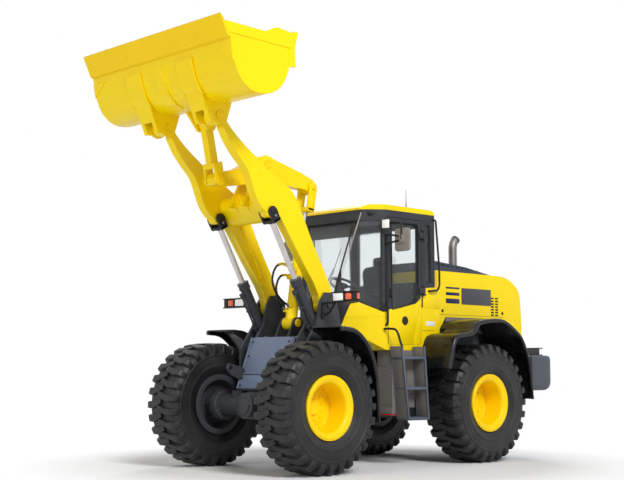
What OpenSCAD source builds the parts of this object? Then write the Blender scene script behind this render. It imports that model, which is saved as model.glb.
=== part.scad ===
// Articulated wheel loader, about ten tonnes, boom raised and bucket rolled back.
// Millimetres. +X forward, +Y left, +Z up. The origin lies on the ground
// under the articulation pin.

/* [Wheels and frame] */
// distance between the axles
wheelbase = 2840; // [2700:10:3000]
// distance between the tyre centre planes
tread = 1930; // [1880:10:1990]
// outer diameter of the tyre over its lugs
tyre_d = 1490; // [1440:10:1500]
// width of the tyre
tyre_w = 520; // [480:10:540]
// diameter of the rim flange
rim_d = 721; // [690:1:740]
// half width of the frame body
frame_half = 330; // [310:5:335]
// width of one tyre lug around the tyre
lug_w = 96; // [80:1:110]
// depth of the grooves between the lugs
lug_deep = 38; // [25:1:45]
// radius of the steering pins
hitch_pin_r = 45; // [38:1:50]

/* [Boom and bucket] */
// distance of each lift arm from the middle plane
arm_y = 470; // [464:1:476]
// thickness of a lift arm
arm_t = 120; // [100:2:124]
// radius of the cross tube between the arms
cross_r = 110; // [100:2:116]
// width of the bucket over its side plates
bucket_w = 2550; // [2450:10:2600]
// thickness of the bucket shell
bucket_t = 20; // [14:1:24]
// width of each wide strap under the bucket
strap_w = 266; // [250:2:280]

/* [Cylinders] */
// radius of a lift cylinder barrel
lift_barrel_r = 60; // [54:1:64]
// radius of a lift cylinder rod
lift_rod_r = 34; // [28:1:38]
// radius of the tilt cylinder barrel
tilt_barrel_r = 72; // [64:1:78]
// radius of the tilt cylinder rod
tilt_rod_r = 38; // [32:1:42]
// radius of a steering cylinder barrel
steer_barrel_r = 45; // [40:1:48]

/* [Cab] */
// half width of the cab
cab_half = 720; // [690:5:740]
// height of the cab roof above the ground
cab_top = 3190; // [3150:5:3230]
// thickness of the cab walls
cab_wall = 60; // [50:1:66]
// thickness of the window glass
glass_t = 8; // [6:1:10]

/* [Hood and rear] */
// half width of the engine hood
hood_half = 620; // [590:5:640]
// thickness of the hood panels
hood_t = 16; // [10:1:20]
// diameter of the exhaust pipe
exhaust_d = 115; // [100:1:125]
// half width of the counterweight
weight_half = 1140; // [1100:10:1180]
// diameter of the hole in the tow jaw
tow_d = 42; // [36:1:50]

/* [Hidden] */
$fn = 48;
axle_x = wheelbase / 2;
axle_z = tyre_d / 2;
tyre_y = tread / 2;
rim_r = rim_d / 2;
// pins of the boom linkage as [x, z]
boom_pin = [820, 1930];
lift_pin = [1715, 2970];
lift_base = [800, 1360];
hinge_pin = [2530, 3960];
crank_pin = [1420, 3600];
link_pin_at = [2120, 3350];
bucket_link_at = [2258, 3975];
tilt_pin = [640, 3400];
tilt_base = [920, 1720];
cross_at = [1595, 3110];
steer_base = [-480, 330];
steer_eye = [300, 330];
steer_z = 880;
lugs = 18;
axle_r = 122;
axle_gap = 4;
lug_skew = -9;
// gap between pieces that rest on each other
seat = 0.3;
link_dir = (bucket_link_at - link_pin_at) / norm(bucket_link_at - link_pin_at);
link_len = norm(bucket_link_at - link_pin_at);
boom_foot_r = 118;
arm_tip_r = 98;
lift_dir = (lift_pin - lift_base) / norm(lift_pin - lift_base);
lift_len = norm(lift_pin - lift_base);
tilt_dir = (tilt_pin - tilt_base) / norm(tilt_pin - tilt_base);
tilt_len = norm(tilt_pin - tilt_base);
lip = [3105, 4855];
cab_front = 450;
cab_rear = -918;
cab_nose = 330;
cab_corner = 8;
roof_z = 3125;
sill_z = 1940;
floor_z = 1400;
chamfer_len = norm([cab_front - cab_corner, cab_half - cab_nose]);
chamfer_nx = (cab_half - cab_nose) / chamfer_len;
chamfer_ny = (cab_front - cab_corner) / chamfer_len;
chamfer_turn = atan2(chamfer_ny, chamfer_nx);
door_front = -30;
door_rear = -660;
door_low = 1470;
door_top = 3040;
door_gap = 7;
side_box_rear = -470;
hinge_x = -680;
hinge_y = cab_half + 24;
hinge_z = [2150, 2850];
step_in = cab_half + 35;
step_out = step_in + 195;

// which sub-part to show

// box between two corners
module box(x0, x1, y0, y1, z0, z1) {
    translate([x0, y0, z0])
        cube([x1 - x0, y1 - y0, z1 - z0]);
}

// outline in the x-z plane, as thick as y0 to y1
module slab(pts, y0, y1) {
    translate([0, y1, 0])
        rotate([90, 0, 0])
            linear_extrude(height = y1 - y0)
                polygon(pts);
}

// cylinder along y through an [x, z] point
module ypin(at, r, y0, y1) {
    translate([at[0], y1, at[1]])
        rotate([90, 0, 0])
            cylinder(r = r, h = y1 - y0);
}

// cylinder along x
module xpin(x0, x1, y, z, r) {
    translate([x0, y, z])
        rotate([0, 90, 0])
            cylinder(r = r, h = x1 - x0);
}

// cylinder along z
module zpin(x, y, z0, z1, r) {
    translate([x, y, z0])
        cylinder(r = r, h = z1 - z0);
}

// round bar from one point to another
module rod_to(a, b, r) {
    d = b - a;
    translate(a)
        rotate([0, acos(d[2] / norm(d)), atan2(d[1], d[0])])
            cylinder(r = r, h = norm(d));
}

// children on the left and mirrored to the right
module both() {
    children();
    mirror([0, 1, 0])
        children();
}

// children along the line from one [x, z] point in a direction, at height y
module along(at, dir, y) {
    translate([at[0], y, at[1]])
        rotate([0, 90 - atan2(dir[1], dir[0]), 0])
            children();
}

// outline moved inward by d, for an open row of points
function shifted(p, d) = [for (i = [0:len(p) - 1])
    let (a = p[max(i - 1, 0)], b = p[min(i + 1, len(p) - 1)], t = (b - a) / norm(b - a))
        p[i] + d * [-t[1], t[0]]];

function reversed(p) = [for (i = [len(p) - 1:-1:0]) p[i]];

// open row of points with its corners cut, ends kept
function eased(p) = concat([p[0]], [for (i = [0:len(p) - 2]) each [0.75 * p[i] + 0.25 * p[i + 1],
    0.25 * p[i] + 0.75 * p[i + 1]]], [p[len(p) - 1]]);

// children on the plane through two [x, z] points: x along it, y across, z outward
module on_face(a, b) {
    d = b - a;
    translate([a[0], 0, a[1]])
        rotate([0, -atan2(d[1], d[0]), 0])
            children();
}

// plate of even thickness under an open row of points
module band(p, outer, inner, y0, y1) {
    slab(concat(shifted(p, outer), reversed(shifted(p, inner))), y0, y1);
}

// rear half of the machine

rail_side = [[-560, 560], [-560, 1220], [-1000, 1260], [-2500, 1260], [-2560, 1180], [-2560, 700], [-1900, 640],
    [-1000, 560]];

module rear_frame() {
    color("DimGray")
        difference() {
            rear_frame_body();
            box(-axle_x - axle_r - axle_gap, -axle_x + axle_r + axle_gap, -frame_half - 50, frame_half + 50, 500, axle_z + 170 + seat);
        }
}

module rear_frame_body() {
        union() {
            both() {
                slab(rail_side, frame_half - 30, frame_half);
                steer_bracket_rear();
            }
            box(-590, -560, -frame_half, frame_half, 560, 1220);
            box(-1000, -940, -frame_half, frame_half, 600, 1240);
            box(-2000, -1940, -frame_half, frame_half, 960, 1230 - seat);
            box(-2560, -2500, -frame_half, frame_half, 720, 1180);
            hitch_lug_rear(1176);
            hitch_lug_rear(560);
            zpin(0, 0, 1090, 1240, hitch_pin_r);
            zpin(0, 0, 540, 690, hitch_pin_r);
            both() {
                box(-960, side_box_rear - seat, frame_half - 10, 640, 1225, 1290);
                box(-900, -600, 560, 640, 1280, floor_z - seat);
                box(-1420, -1300, 250, frame_half, 900, 1200);
            }
        }
}

module hitch_lug_rear(z) {
    translate([0, 0, z])
        linear_extrude(height = 40)
            union() {
                circle(r = 130);
                polygon([[-580, -300], [-580, 300], [0, 130], [0, -130]]);
            }
}

module steer_bracket_rear() {
    for (z = [steer_z - 66, steer_z + 46])
        translate([0, 0, z])
            linear_extrude(height = 20)
                union() {
                    translate(steer_base)
                        circle(r = 55);
                    polygon([[-570, 270], [-570, frame_half + 40], [-480, 385], [-480, 275]]);
                }
}

module axle_at(x) {
    translate([x, 0, axle_z])
        union() {
            ypin([0, 0], axle_r, -640, 640);
            ypin([0, 0], 165, -160, 160);
            xpin(-230, 230, 0, 0, 150);
            both() {
                ypin([0, 0], 185, 600, 690);
                ypin([0, 0], 145, 680, tyre_y - 110 - 1);
                box(-100, 100, 285, 375, 40, 170);
            }
        }
}

module rear_axle() {
    color("DimGray")
        axle_at(-axle_x);
}

weight_side = [[-2387, 1349], [-2980, 1349], [-3060, 1290], [-3105, 1150], [-3105, 760], [-2980, 660],
    [-2600, 660], [-2515, 871], [-2387, 1000]];

module counterweight() {
    color("DarkSlateGray")
        difference() {
            intersection() {
                slab(weight_side, -weight_half, weight_half);
                linear_extrude(height = 1500)
                    polygon([[-2387, -weight_half], [-2834, -weight_half], [-3060, -900], [-3105, -820],
                        [-3105, 820], [-3060, 900], [-2834, weight_half], [-2387, weight_half]]);
            }
            box(-2560 - seat, -2300, -frame_half - seat, frame_half + seat, 600, 1400);
            box(-3200, -2890, -90, 90, 800, 920);
            zpin(-3020, 0, 600, 1400, tow_d / 2);
        }
}

hood_rear = eased(eased([[-2385, 2429], [-2590, 2401], [-2796, 2275], [-2849, 2151], [-2871, 1737]]));
hood_side = concat([[-1010, 1440], [-1010, 2436]], hood_rear, [[-2850, 1349 + seat], [-2300, 1349 + seat],
    [-2120, 1840], [-1240, 1840], [-1100, 1640], [-1100, 1440]]);
vent_x = [-2226, -2320];

module engine_hood() {
    color("Gold")
        difference() {
            slab(hood_side, -hood_half, hood_half);
            slab(concat([[-1030, 1400], [-1030, 2436 - hood_t]], shifted(hood_rear, hood_t),
                [[-2830, 1300], [-1900, 1300]]), -hood_half + hood_t, hood_half - hood_t);
            box(-2900, -2820, -430, 430, 1480, 2100);
            both()
                for (x = vent_x, i = [0:6])
                    box(x - 36, x + 36, hood_half - 2 * hood_t, hood_half + 9, 1880 + 38 * i, 1902 + 38 * i);
        }
}

module hood_grilles() {
    color("DarkSlateGray")
        union() {
            box(-2858, -2846, -430 + seat, 430 - seat, 1480 + seat, 2100 - seat);
            for (i = [0:9])
                box(-2868, -2852, -424, 424, 1500 + 58 * i, 1526 + 58 * i);
        }
    color("DarkSlateGray")
        difference() {
            intersection() {
                slab([[-1045, 2436 + seat], [-1060, 2560], [-1178, 2576], [-1792, 2523], [-2200, 2452],
                    [-2330, 2430 + seat]], -600, 600);
                translate([-2400, 0, 0])
                    rotate([90, 0, 90])
                        linear_extrude(height = 1400)
                            polygon([[-560, 2400], [560, 2400], [490, 2600], [-490, 2600]]);
            }
            zpin(-2150, 0, 2400, 2700, 93);
        }
}

module engine_block() {
    color("SlateGray")
        union() {
            box(-2450, -1250, -frame_half + 30 + seat, frame_half - 30 - seat, 1230, 2100);
            box(-1250, -1000 - seat, -220, 220, 920, 1400);
        }
}

stack_bend_r = 170;
stack_turn = 50;

module exhaust_stack() {
    color("DimGray")
        union() {
            zpin(-2150, 0, 2431, 2830, exhaust_d / 2);
            zpin(-2150, 0, 2431, 2460, 90);
            translate([-2150 - stack_bend_r, 0, 2830])
                rotate([90, 0, 0])
                    rotate_extrude(angle = stack_turn)
                        translate([stack_bend_r, 0])
                            circle(r = exhaust_d / 2);
        }
}

// cab outline seen from above, drawn in by i
function cab_plan(i) = [[cab_rear + i, -cab_half + i], [cab_corner - i * (1 - chamfer_ny) / chamfer_nx, -cab_half + i],
    [cab_front - i, -cab_nose + i * (1 - chamfer_nx) / chamfer_ny],
    [cab_front - i, cab_nose - i * (1 - chamfer_nx) / chamfer_ny],
    [cab_corner - i * (1 - chamfer_ny) / chamfer_nx, cab_half - i], [cab_rear + i, cab_half - i]];

// cab outline seen from the side, drawn in by i
function cab_side(i, z0, z1) = [[cab_rear - 60 + i, z0], [cab_rear + i, z1], [225 - 1.03 * i, z1],
    [225 - 1.03 * i, 3100], [cab_front - 1.03 * i, 2150], [cab_front - 1.03 * i, z0]];

module cab_body(i, z0, z1) {
    intersection() {
        translate([0, 0, z0])
            linear_extrude(height = z1 - z0)
                polygon(cab_plan(i));
        slab(cab_side(i, z0 - 1, z1 + 1), -cab_half, cab_half);
    }
}

module cab_base() {
    color("Gold")
        difference() {
            intersection() {
                cab_body(0, floor_z, sill_z);
                slab([[cab_front, sill_z], [430, 1690], [300, 1600], [0, floor_z], [cab_rear, floor_z],
                    [cab_rear, sill_z]], -cab_half, cab_half);
            }
            intersection() {
                cab_body(cab_wall, floor_z, sill_z + 50);
                slab([[cab_front, sill_z + 99], [cab_front, 1820], [250, 1650], [0, floor_z + cab_wall],
                    [cab_rear, floor_z + cab_wall], [cab_rear, sill_z + 99]], -cab_half, cab_half);
            }
            box(door_rear, door_front, cab_half - 2 * cab_wall, cab_half + 9, door_low, sill_z + 9);
            cab_openings();
        }
}

front_window = [[-270, 2010], [-430, 2990], [430, 2990], [270, 2010]];

module cab_openings() {
    slab([[-130, 1700], [-130, 2990], [-820, 2990], [-850, 2260], [-700, 1990], [-560, 1700]],
        -cab_half - 9, -cab_half + 2 * cab_wall);
    slab([[-740, 2260], [-740, 2990], [-830, 2990], [-850, 2260]], cab_half - 2 * cab_wall, cab_half + 9);
    translate([100, 0, 0])
        rotate([90, 0, 90])
            linear_extrude(height = 500)
                polygon(front_window);
    translate([cab_rear - 150, 0, 0])
        rotate([90, 0, 90])
            linear_extrude(height = 300)
                polygon([[-600, 2280], [-600, 2980], [600, 2980], [600, 2280]]);
    both()
        translate([(cab_front + cab_corner) / 2, (cab_nose + cab_half) / 2, 0])
            rotate([0, 0, chamfer_turn])
                box(-130, 60, -chamfer_len / 2 + 50, chamfer_len / 2 - 55, 1810, 2990);
}

module door_hole(g) {
    slab([[door_front + g, door_low - g], [door_front + g, door_top + g], [door_rear - g, door_top + g],
        [door_rear - g, door_low - g]], cab_half - cab_wall - 9, cab_half + 9);
}

module cab_shell() {
    color("DarkSlateGray")
        difference() {
            cab_body(0, sill_z, roof_z);
            cab_body(cab_wall, sill_z - 9, roof_z + 9);
            cab_openings();
            door_hole(0);
        }
    color("DarkSlateGray")
        for (z = hinge_z)
            union() {
                for (e = [-62, 40])
                    box(hinge_x - 22, hinge_x + 18, cab_half - 2, hinge_y + 18, z + e, z + e + 22);
                zpin(hinge_x, hinge_y, z - 50, z + 50, 10);
            }
}

module cab_roof() {
    color("Gold")
        difference() {
            intersection() {
                translate([0, 0, roof_z])
                    linear_extrude(height = cab_top - roof_z)
                        polygon([[cab_rear - 10, -cab_half + 10], [cab_corner, -cab_half + 10], [225, -500], [225, 500],
                            [cab_corner, cab_half - 10], [cab_rear - 10, cab_half - 10]]);
                slab([[cab_rear - 20, roof_z], [cab_rear - 10, cab_top - 30], [cab_rear + 60, cab_top],
                    [150, cab_top], [225, cab_top - 40], [225, roof_z]], -cab_half, cab_half);
            }
            box(cab_rear + 80, 60, -cab_half + 120, cab_half - 120, roof_z - 9, roof_z + 25);
        }
}

module cab_glass() {
    color("LightBlue", 0.4)
        intersection() {
            difference() {
                cab_body(24, door_low, roof_z);
                cab_body(24 + glass_t, door_low - 9, roof_z + 9);
            }
            difference() {
                cab_openings();
                door_hole(12);
            }
        }
}

door_window = [[-110, 1560], [-100, 2985], [-600, 2985], [-600, 2230], [-430, 1560]];

module cab_door() {
    color("DarkSlateGray")
        difference() {
            slab([[door_front - door_gap, door_low], [door_front - door_gap, door_top - door_gap],
                [door_rear + door_gap, door_top - door_gap], [door_rear + door_gap, 2120], [-480, door_low]],
                cab_half - cab_wall + 10, cab_half);
            slab(door_window, cab_half - cab_wall - 9, cab_half + 9);
        }
    color("DarkSlateGray")
        for (z = hinge_z)
            difference() {
                union() {
                    zpin(hinge_x, hinge_y, z - 38, z + 38, 20);
                    box(hinge_x, -600, cab_half + 6, cab_half + 30, z - 38, z + 38);
                    box(-648, -602, cab_half - 5, cab_half + 30, z - 38, z + 38);
                }
                zpin(hinge_x, hinge_y, z - 60, z + 60, 11);
            }
}

module door_glass() {
    color("LightBlue", 0.4)
        slab(door_window, cab_half - 34, cab_half - 34 + glass_t);
}

module operator_seat() {
    color("DarkSlateGray")
        union() {
            box(-560, -120, -180, 180, floor_z + cab_wall, 1760);
            box(-640, -80, -250, 250, 1750, 1900);
            slab([[-640, 1890], [-740, 2560], [-620, 2580], [-500, 1890]], -240, 240);
            box(-560, -180, -330, -260, 2060, 2120);
            box(-600, -560, -330, -200, 1900, 2100);
            box(-560, -180, 260, 330, 2060, 2120);
            box(-600, -560, 200, 330, 1900, 2100);
        }
}

module steering_console() {
    color("DarkSlateGray")
        union() {
            slab([[0, floor_z + cab_wall + seat], [190, 1605 + seat], [190, 2080], [110, 2120], [40, 2080],
                [-50, floor_z + cab_wall + seat]], -140, 140);
            rod_to([90, 0, 2090], [10, 0, 2210], 28);
            translate([0, 0, 2220])
                rotate([0, -28, 0])
                    rotate_extrude()
                        translate([180, 0])
                            circle(r = 16);
            translate([0, 0, 2220])
                rotate([0, -28, 0])
                    union() {
                        translate([0, 0, -14])
                            cylinder(r = 50, h = 28);
                        for (a = [0, 120, 240])
                            rotate([0, 0, a])
                                box(0, 178, -18, 18, -8, 8);
                    }
        }
}

module steps_and_rails() {
    color("DarkSlateGray")
        both() {
            for (s = [[-25, 1448, -140, 560], [-432, 1448, -500, 560]])
                slab([[s[0], s[1]], [s[0] - 30, s[1]], [s[2] - 30, s[3]], [s[2], s[3]]], step_in + seat, step_out);
            for (s = [[-40, -455, 1300], [-95, -490, 930], [-140, -525, 562]])
                box(s[1], s[0], step_in + seat, step_out, s[2], s[2] + 28);
            rod_to([-895, cab_half + 40, 2900], [-905, cab_half + 40, 2000], 16);
            rod_to([-905, cab_half + 40, 2010], [-905, cab_half + seat, 2010], 16);
            rod_to([-895, cab_half + 40, 2890], [-895, cab_half + seat, 2890], 16);
        }
}

module side_boxes() {
    color("DarkSlateGray")
        both() {
            box(side_box_rear, -60, 515, step_in, 700, floor_z - seat);
            box(-2080, -1250, hood_half - 30, hood_half - 1, 1640, 1840 - seat);
        }
}

fender_rear_out = [[-590, 1180], [-705, 1600], [-1080, 1632], [-1188, 1785], [-1709, 1829], [-2094, 1615],
    [-2260, 1288], [-2319, 779]];

fender_rear_in = [for (q = fender_rear_out) if (q[0] < -1100) q];

module rear_fenders() {
    color("DarkSlateGray")
        both()
            union() {
                band(fender_rear_out, 0, 14, cab_half + 6, 1220);
                band(fender_rear_out, 0, 45, 1206, 1220);
                band(fender_rear_in, 0, 14, hood_half + seat, cab_half + 10);
            }
}

module rear_lamps() {
    color("FireBrick")
        both()
            box(-2905, -2866, 470, 600, 1500, 1640);
}

module cab_fittings() {
    color("DimGray")
        union() {
            both() {
                rod_to([-6, cab_half + seat, 2860], [-6, 1000, 2860], 14);
                box(-20, 15, 880, 1120, 2590, 2870);
                rod_to([10, cab_half + seat, 2960], [60, 800, 2960], 12);
                box(40, 105, 745, 860, 2880, 2985);
            }
            rod_to([-626, 500, cab_top + seat], [-626, 500, 3454], 8);
        }
}

// front half of the machine

tower = [[480, 620], [480, 1240], [570, 1400], [690, 1990], [790, 2070], [900, 2070], [980, 1960], [1040, 1700], [1240, 1420],
    [1240, 900], [1100, 620]];

tower_out = [[570, 620], [570, 1400], [710, 1990], [800, 2070], [900, 2070], [980, 1960], [1040, 1700], [1240, 1420],
    [1240, 900], [1100, 620]];

module front_frame() {
    color("DimGray")
        difference() {
            union() {
                both() {
                    slab(tower, arm_y - arm_t / 2 - 55, arm_y - arm_t / 2 - 15);
                    slab(tower_out, arm_y + arm_t / 2 + 15, arm_y + arm_t / 2 + 50);
                    box(480, 600, 345, 400, 620, 1180);
                    box(580, 600, 345, 570, 620, 1180);
                    box(1060, 1235, 345, 570, 920, 960);
                    steer_bracket_front();
                    ypin(boom_pin, 45, arm_y - 90, arm_y + 110);
                    ypin(lift_base, 40, arm_y - 90, arm_y + 110);
                    slab([[1300, 1000], [1560, 1100], [1630, 1180], [1600, 1240], [1260, 1160]], 335, 365);
                }
                box(480, 520, -360, 360, 560, 1170);
                slab([[500, 560], [500, 600], [1250, 640], [1420, 920], [1180, 1540], [1210, 1550], [1450, 930],
                    [1280, 600]], -365, 365);
                slab([[500, 1130], [500, 1170], [1260, 1170], [1290, 1130]], -365, 365);
                both()
                    slab([[500, 560], [500, 1170], [1300, 1170], [1430, 930], [1280, 610]], 335, 365);
                hitch_lug_front(1120);
                hitch_lug_front(606);
                both()
                    slab([[830, 1400], [830, 1740], [880, 1795], [960, 1785], [1080, 1540], [1080, 1400]], 95, 125);
                box(760, 1100, -360, 360, 1390, 1430);
            }
            zpin(0, 0, 500, 1300, hitch_pin_r + 3);
            box(axle_x - axle_r - axle_gap, axle_x + axle_r + axle_gap, -400, 400, 500, axle_z + 170 + seat);
            box(axle_x - 240, axle_x + 240, -170, 170, 500, axle_z + 170 + seat);
            both()
                ypin([1570, 1180], 28, 300, 400);
            ypin(tilt_base, 43, -300, 300);
        }
}

module hitch_lug_front(z) {
    translate([0, 0, z])
        linear_extrude(height = 50)
            union() {
                circle(r = 130);
                polygon([[500, -300], [500, 300], [0, 130], [0, -130]]);
            }
}

module steer_bracket_front() {
    for (z = [steer_z - 66, steer_z + 46])
        translate([0, 0, z])
            linear_extrude(height = 20)
                union() {
                    translate(steer_eye)
                        circle(r = 55);
                    polygon([[500, 250], [500, 360], [300, 385], [300, 275]]);
                }
}

module front_axle() {
    color("DimGray")
        axle_at(axle_x);
}

fender_front_out = eased([[1240, 1655], [1020, 1640], [850, 1520], [740, 1380], [660, 1150], [640, 900], [635, 562]]);

module front_fenders() {
    color("DarkSlateGray")
        both()
            union() {
                band(fender_front_out, 0, 14, 700, 1220);
                band(fender_front_out, 0, 45, 1206, 1220);
                box(670, 800, arm_y + arm_t / 2 + 50 + seat, 710, 1180, 1240);
                box(930, 970, arm_y + arm_t / 2 + 50 + seat, 710, 1480, 1590);
            }
}

module head_lamps() {
    color("White")
        both() {
            box(930, 970, arm_y + arm_t / 2 + 50 + seat, 1180, 1930, 1952);
            box(930, 970, arm_y + arm_t / 2 + 50 + seat, 610, 1760, 1950);
            box(930, 1000, 780, 1180, 1950, 2060);
        }
}

arm_low = [[2430, 3850], [2340, 3700], [2225, 3565], [2080, 3432], [2015, 3285], [1950, 3121], [1870, 3010],
    [1780, 2945], [1640, 2960], [1600, 2950], [1435, 2720], [1222, 2420], [981, 2100], [915, 1860]];
arm_high = [[735, 1850], [740, 2100], [817, 2236], [926, 2427], [1062, 2655], [1197, 2919], [1304, 3125],
    [1409, 3251], [1540, 3317], [1925, 3552], [2174, 3721], [2360, 3880], [2450, 4020]];

module lift_arms() {
    color("Gold")
        difference() {
            union() {
                both() {
                    slab(concat(eased(arm_low), eased(arm_high)), arm_y - arm_t / 2, arm_y + arm_t / 2);
                    ypin(boom_pin, boom_foot_r, arm_y - arm_t / 2, arm_y + arm_t / 2);
                    ypin(hinge_pin, arm_tip_r, arm_y - arm_t / 2, arm_y + arm_t / 2);
                    ypin(lift_pin, 72, arm_y - arm_t / 2, arm_y + arm_t / 2);
                }
                ypin(cross_at, cross_r, -arm_y, arm_y);
                both()
                    slab([[1580, 3060], [1320, 3560], [1350, 3680], [1450, 3700], [1530, 3620], [1800, 3060]], 95, 135);
            }
            ypin(boom_pin, 47, -700, 700);
            ypin(hinge_pin, 44, -700, 700);
            ypin(crank_pin, 47, -300, 300);
        }
}

module bucket_pins() {
    color("Silver")
        both()
            ypin(hinge_pin, 42, arm_y - 118, arm_y + 118);
}

bucket_back = concat([[3032, 4768]], eased([[2968, 4632], [2950, 4560], [2911, 4377], [2840, 4230], [2738, 4135],
    [2620, 4090], [2470, 4092], [2343, 4130], [2236, 4210], [2165, 4330], [2125, 4440], [2060, 4660]]),
    [[2010, 4851]]);
bucket_side_top = [[2087, 4834], [2315, 4855], [2474, 4779], [3020, 4790]];
strap_line = [[2945, 4530], [2911, 4377], [2840, 4230], [2775, 4168]];
ear_top = [2812, 4190];
ear_low = [2672, 3872];

module bucket() {
    color("Gold")
        difference() {
            union() {
                slab(concat(bucket_back, reversed(shifted(bucket_back, -bucket_t))), -bucket_w / 2, bucket_w / 2);
                band([[2945, 4530], [2911, 4377], [2840, 4230], [2738, 4135], [2640, 4097]], 14, -12, -77, 77);
                both() {
                    slab(concat(bucket_back, bucket_side_top), bucket_w / 2 - 32, bucket_w / 2 - 8);
                    slab(concat([[2979, 4674], [2056, 4656], [2020, 4840]], bucket_side_top),
                        bucket_w / 2 - 10, bucket_w / 2);
                    slab([[2150, 4450], [2031, 4459], [2042, 4654], [1999, 4851], [2060, 4851], [2110, 4660]],
                        bucket_w / 2 - 30, bucket_w / 2);
                    band(strap_line, 24, -12, arm_y - strap_w / 2, arm_y + strap_w / 2);
                    on_face([2950, 4560], [2911, 4377])
                        translate([0, 0, -8])
                            linear_extrude(height = 20)
                                polygon([[20, bucket_w / 2 - 2], [175, bucket_w / 2 - 2], [20, bucket_w / 2 - 235]]);
                    on_face(ear_top, ear_low)
                        difference() {
                            box(-50, norm(ear_low - ear_top), arm_y - strap_w / 2 + 6, arm_y + strap_w / 2 - 6, -12, 12);
                            box(215, 900, arm_y - arm_t / 2 - 14, arm_y + arm_t / 2 + 14, -20, 20);
                        }
                    for (y = [arm_y - arm_t / 2 - 46, arm_y + arm_t / 2 + 10])
                        slab([[2430, 3890], ear_low, ear_top, [2350, 4145]], y, y + 36);
                    for (y = [arm_y - arm_t / 2 - 46, arm_y + arm_t / 2 + 10])
                        ypin(hinge_pin, 110, y, y + 36);
                    slab([[2180, 3960], [2215, 3895], [2310, 3895], [2480, 4100], [2343, 4140], [2240, 4215]], 66, 100);
                }
            }
            ypin(hinge_pin, 44, -700, 700);
        }
}

module cutting_edge() {
    color("DimGray")
        slab([[2994, 4620], lip, [3054, 4813], [2969, 4632]], -bucket_w / 2, bucket_w / 2);
}

module bell_crank_pin() {
    color("Silver")
        ypin(crank_pin, 45, -140, 140);
}

module bell_crank() {
    color("Gold")
        difference() {
            slab([[2060, 3270], [2160, 3280], [2190, 3350], [2150, 3420], [1831, 3500], [1480, 3690], [1330, 3697],
                [802, 3560], [600, 3490], [570, 3400], [610, 3320], [768, 3370], [1420, 3390], [1700, 3330]], -70, 70);
            ypin(crank_pin, 47, -100, 100);
            ypin(link_pin_at, 42, -100, 100);
        }
}

module link_pin() {
    color("Silver")
        ypin(link_pin_at, 40, -110, 110);
}

module bucket_link() {
    color("Gold")
        along(link_pin_at, link_dir, 0)
            difference() {
                union() {
                    for (y = [-108, 78])
                        translate([0, y, 0])
                            union() {
                                translate([-60, 0, 0])
                                    cube([120, 30, 170]);
                                translate([0, 30, 0])
                                    rotate([90, 0, 0])
                                        cylinder(r = 75, h = 30);
                            }
                    translate([-60, -108, 125])
                        cube([120, 216, 65]);
                    translate([-50, -50, 180])
                        cube([100, 100, link_len - 180]);
                    translate([0, 55, link_len])
                        rotate([90, 0, 0])
                            cylinder(r = 60, h = 110);
                }
                translate([0, 150, 0])
                    rotate([90, 0, 0])
                        cylinder(r = 42, h = 300);
            }
}

module lift_barrel() {
    difference() {
        union() {
            along(lift_base, lift_dir, arm_y)
                union() {
                    translate([0, 0, 60])
                        cylinder(r = lift_barrel_r, h = 925);
                    translate([0, 0, 905])
                        cylinder(r = lift_barrel_r + 9, h = 80);
                }
            ypin(lift_base, 78, arm_y - 55, arm_y + 55);
        }
        ypin(lift_base, 42, arm_y - 99, arm_y + 99);
        along(lift_base, lift_dir, arm_y)
            translate([0, 0, 140])
                cylinder(r = lift_rod_r + 1, h = 1100);
    }
}

module lift_rod() {
    along(lift_base, lift_dir, arm_y)
        union() {
            translate([0, 0, 900])
                cylinder(r = lift_rod_r, h = lift_len - 1020);
            translate([0, 0, lift_len - 145])
                cylinder(r = 50, h = 40);
            for (y = [-arm_t / 2 - 40, arm_t / 2 + 10])
                translate([0, y, 0])
                    union() {
                        translate([-50, 0, lift_len - 135])
                            cube([100, 30, 135]);
                        translate([0, 30, lift_len])
                            rotate([90, 0, 0])
                                cylinder(r = 50, h = 30);
                    }
            translate([-55, -arm_t / 2 - 40, lift_len - 135])
                cube([110, arm_t + 80, 40]);
        }
}

module lift_barrel_left() {
    color("DimGray")
        lift_barrel();
}

module lift_barrel_right() {
    color("DimGray")
        mirror([0, 1, 0])
            lift_barrel();
}

module lift_rod_left() {
    color("Silver")
        lift_rod();
}

module lift_rod_right() {
    color("Silver")
        mirror([0, 1, 0])
            lift_rod();
}

module tilt_base_pin() {
    color("Silver")
        ypin(tilt_base, 40, -130, 130);
}

module tilt_barrel() {
    color("Gold")
        difference() {
            union() {
                ypin(tilt_base, 75, -80, 80);
                along(tilt_base, tilt_dir, 0)
                    union() {
                        translate([0, 0, 40])
                            cylinder(r = tilt_barrel_r, h = 905);
                        translate([0, 0, 875])
                            cylinder(r = tilt_barrel_r + 8, h = 70);
                    }
            }
            ypin(tilt_base, 42, -99, 99);
            along(tilt_base, tilt_dir, 0)
                translate([0, 0, 140])
                    cylinder(r = tilt_rod_r + 1, h = 1100);
        }
}

module tilt_rod() {
    color("Silver")
        along(tilt_base, tilt_dir, 0)
            union() {
                translate([0, 0, 800])
                    cylinder(r = tilt_rod_r, h = tilt_len - 1070);
                for (y = [-112, 82])
                    translate([0, y, 0])
                        union() {
                            translate([-55, 0, tilt_len - 310])
                                cube([110, 30, 310]);
                            translate([0, 30, tilt_len])
                                rotate([90, 0, 0])
                                    cylinder(r = 62, h = 30);
                        }
                translate([-55, -112, tilt_len - 310])
                    cube([110, 224, 50]);
            }
}

module steer_barrel() {
    difference() {
        union() {
            zpin(steer_base[0], steer_base[1], steer_z - 38, steer_z + 38, 50);
            xpin(steer_base[0] + 30, steer_base[0] + 470, steer_base[1], steer_z, steer_barrel_r);
        }
        xpin(steer_base[0] + 70, steer_base[0] + 600, steer_base[1], steer_z, 26);
    }
}

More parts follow.
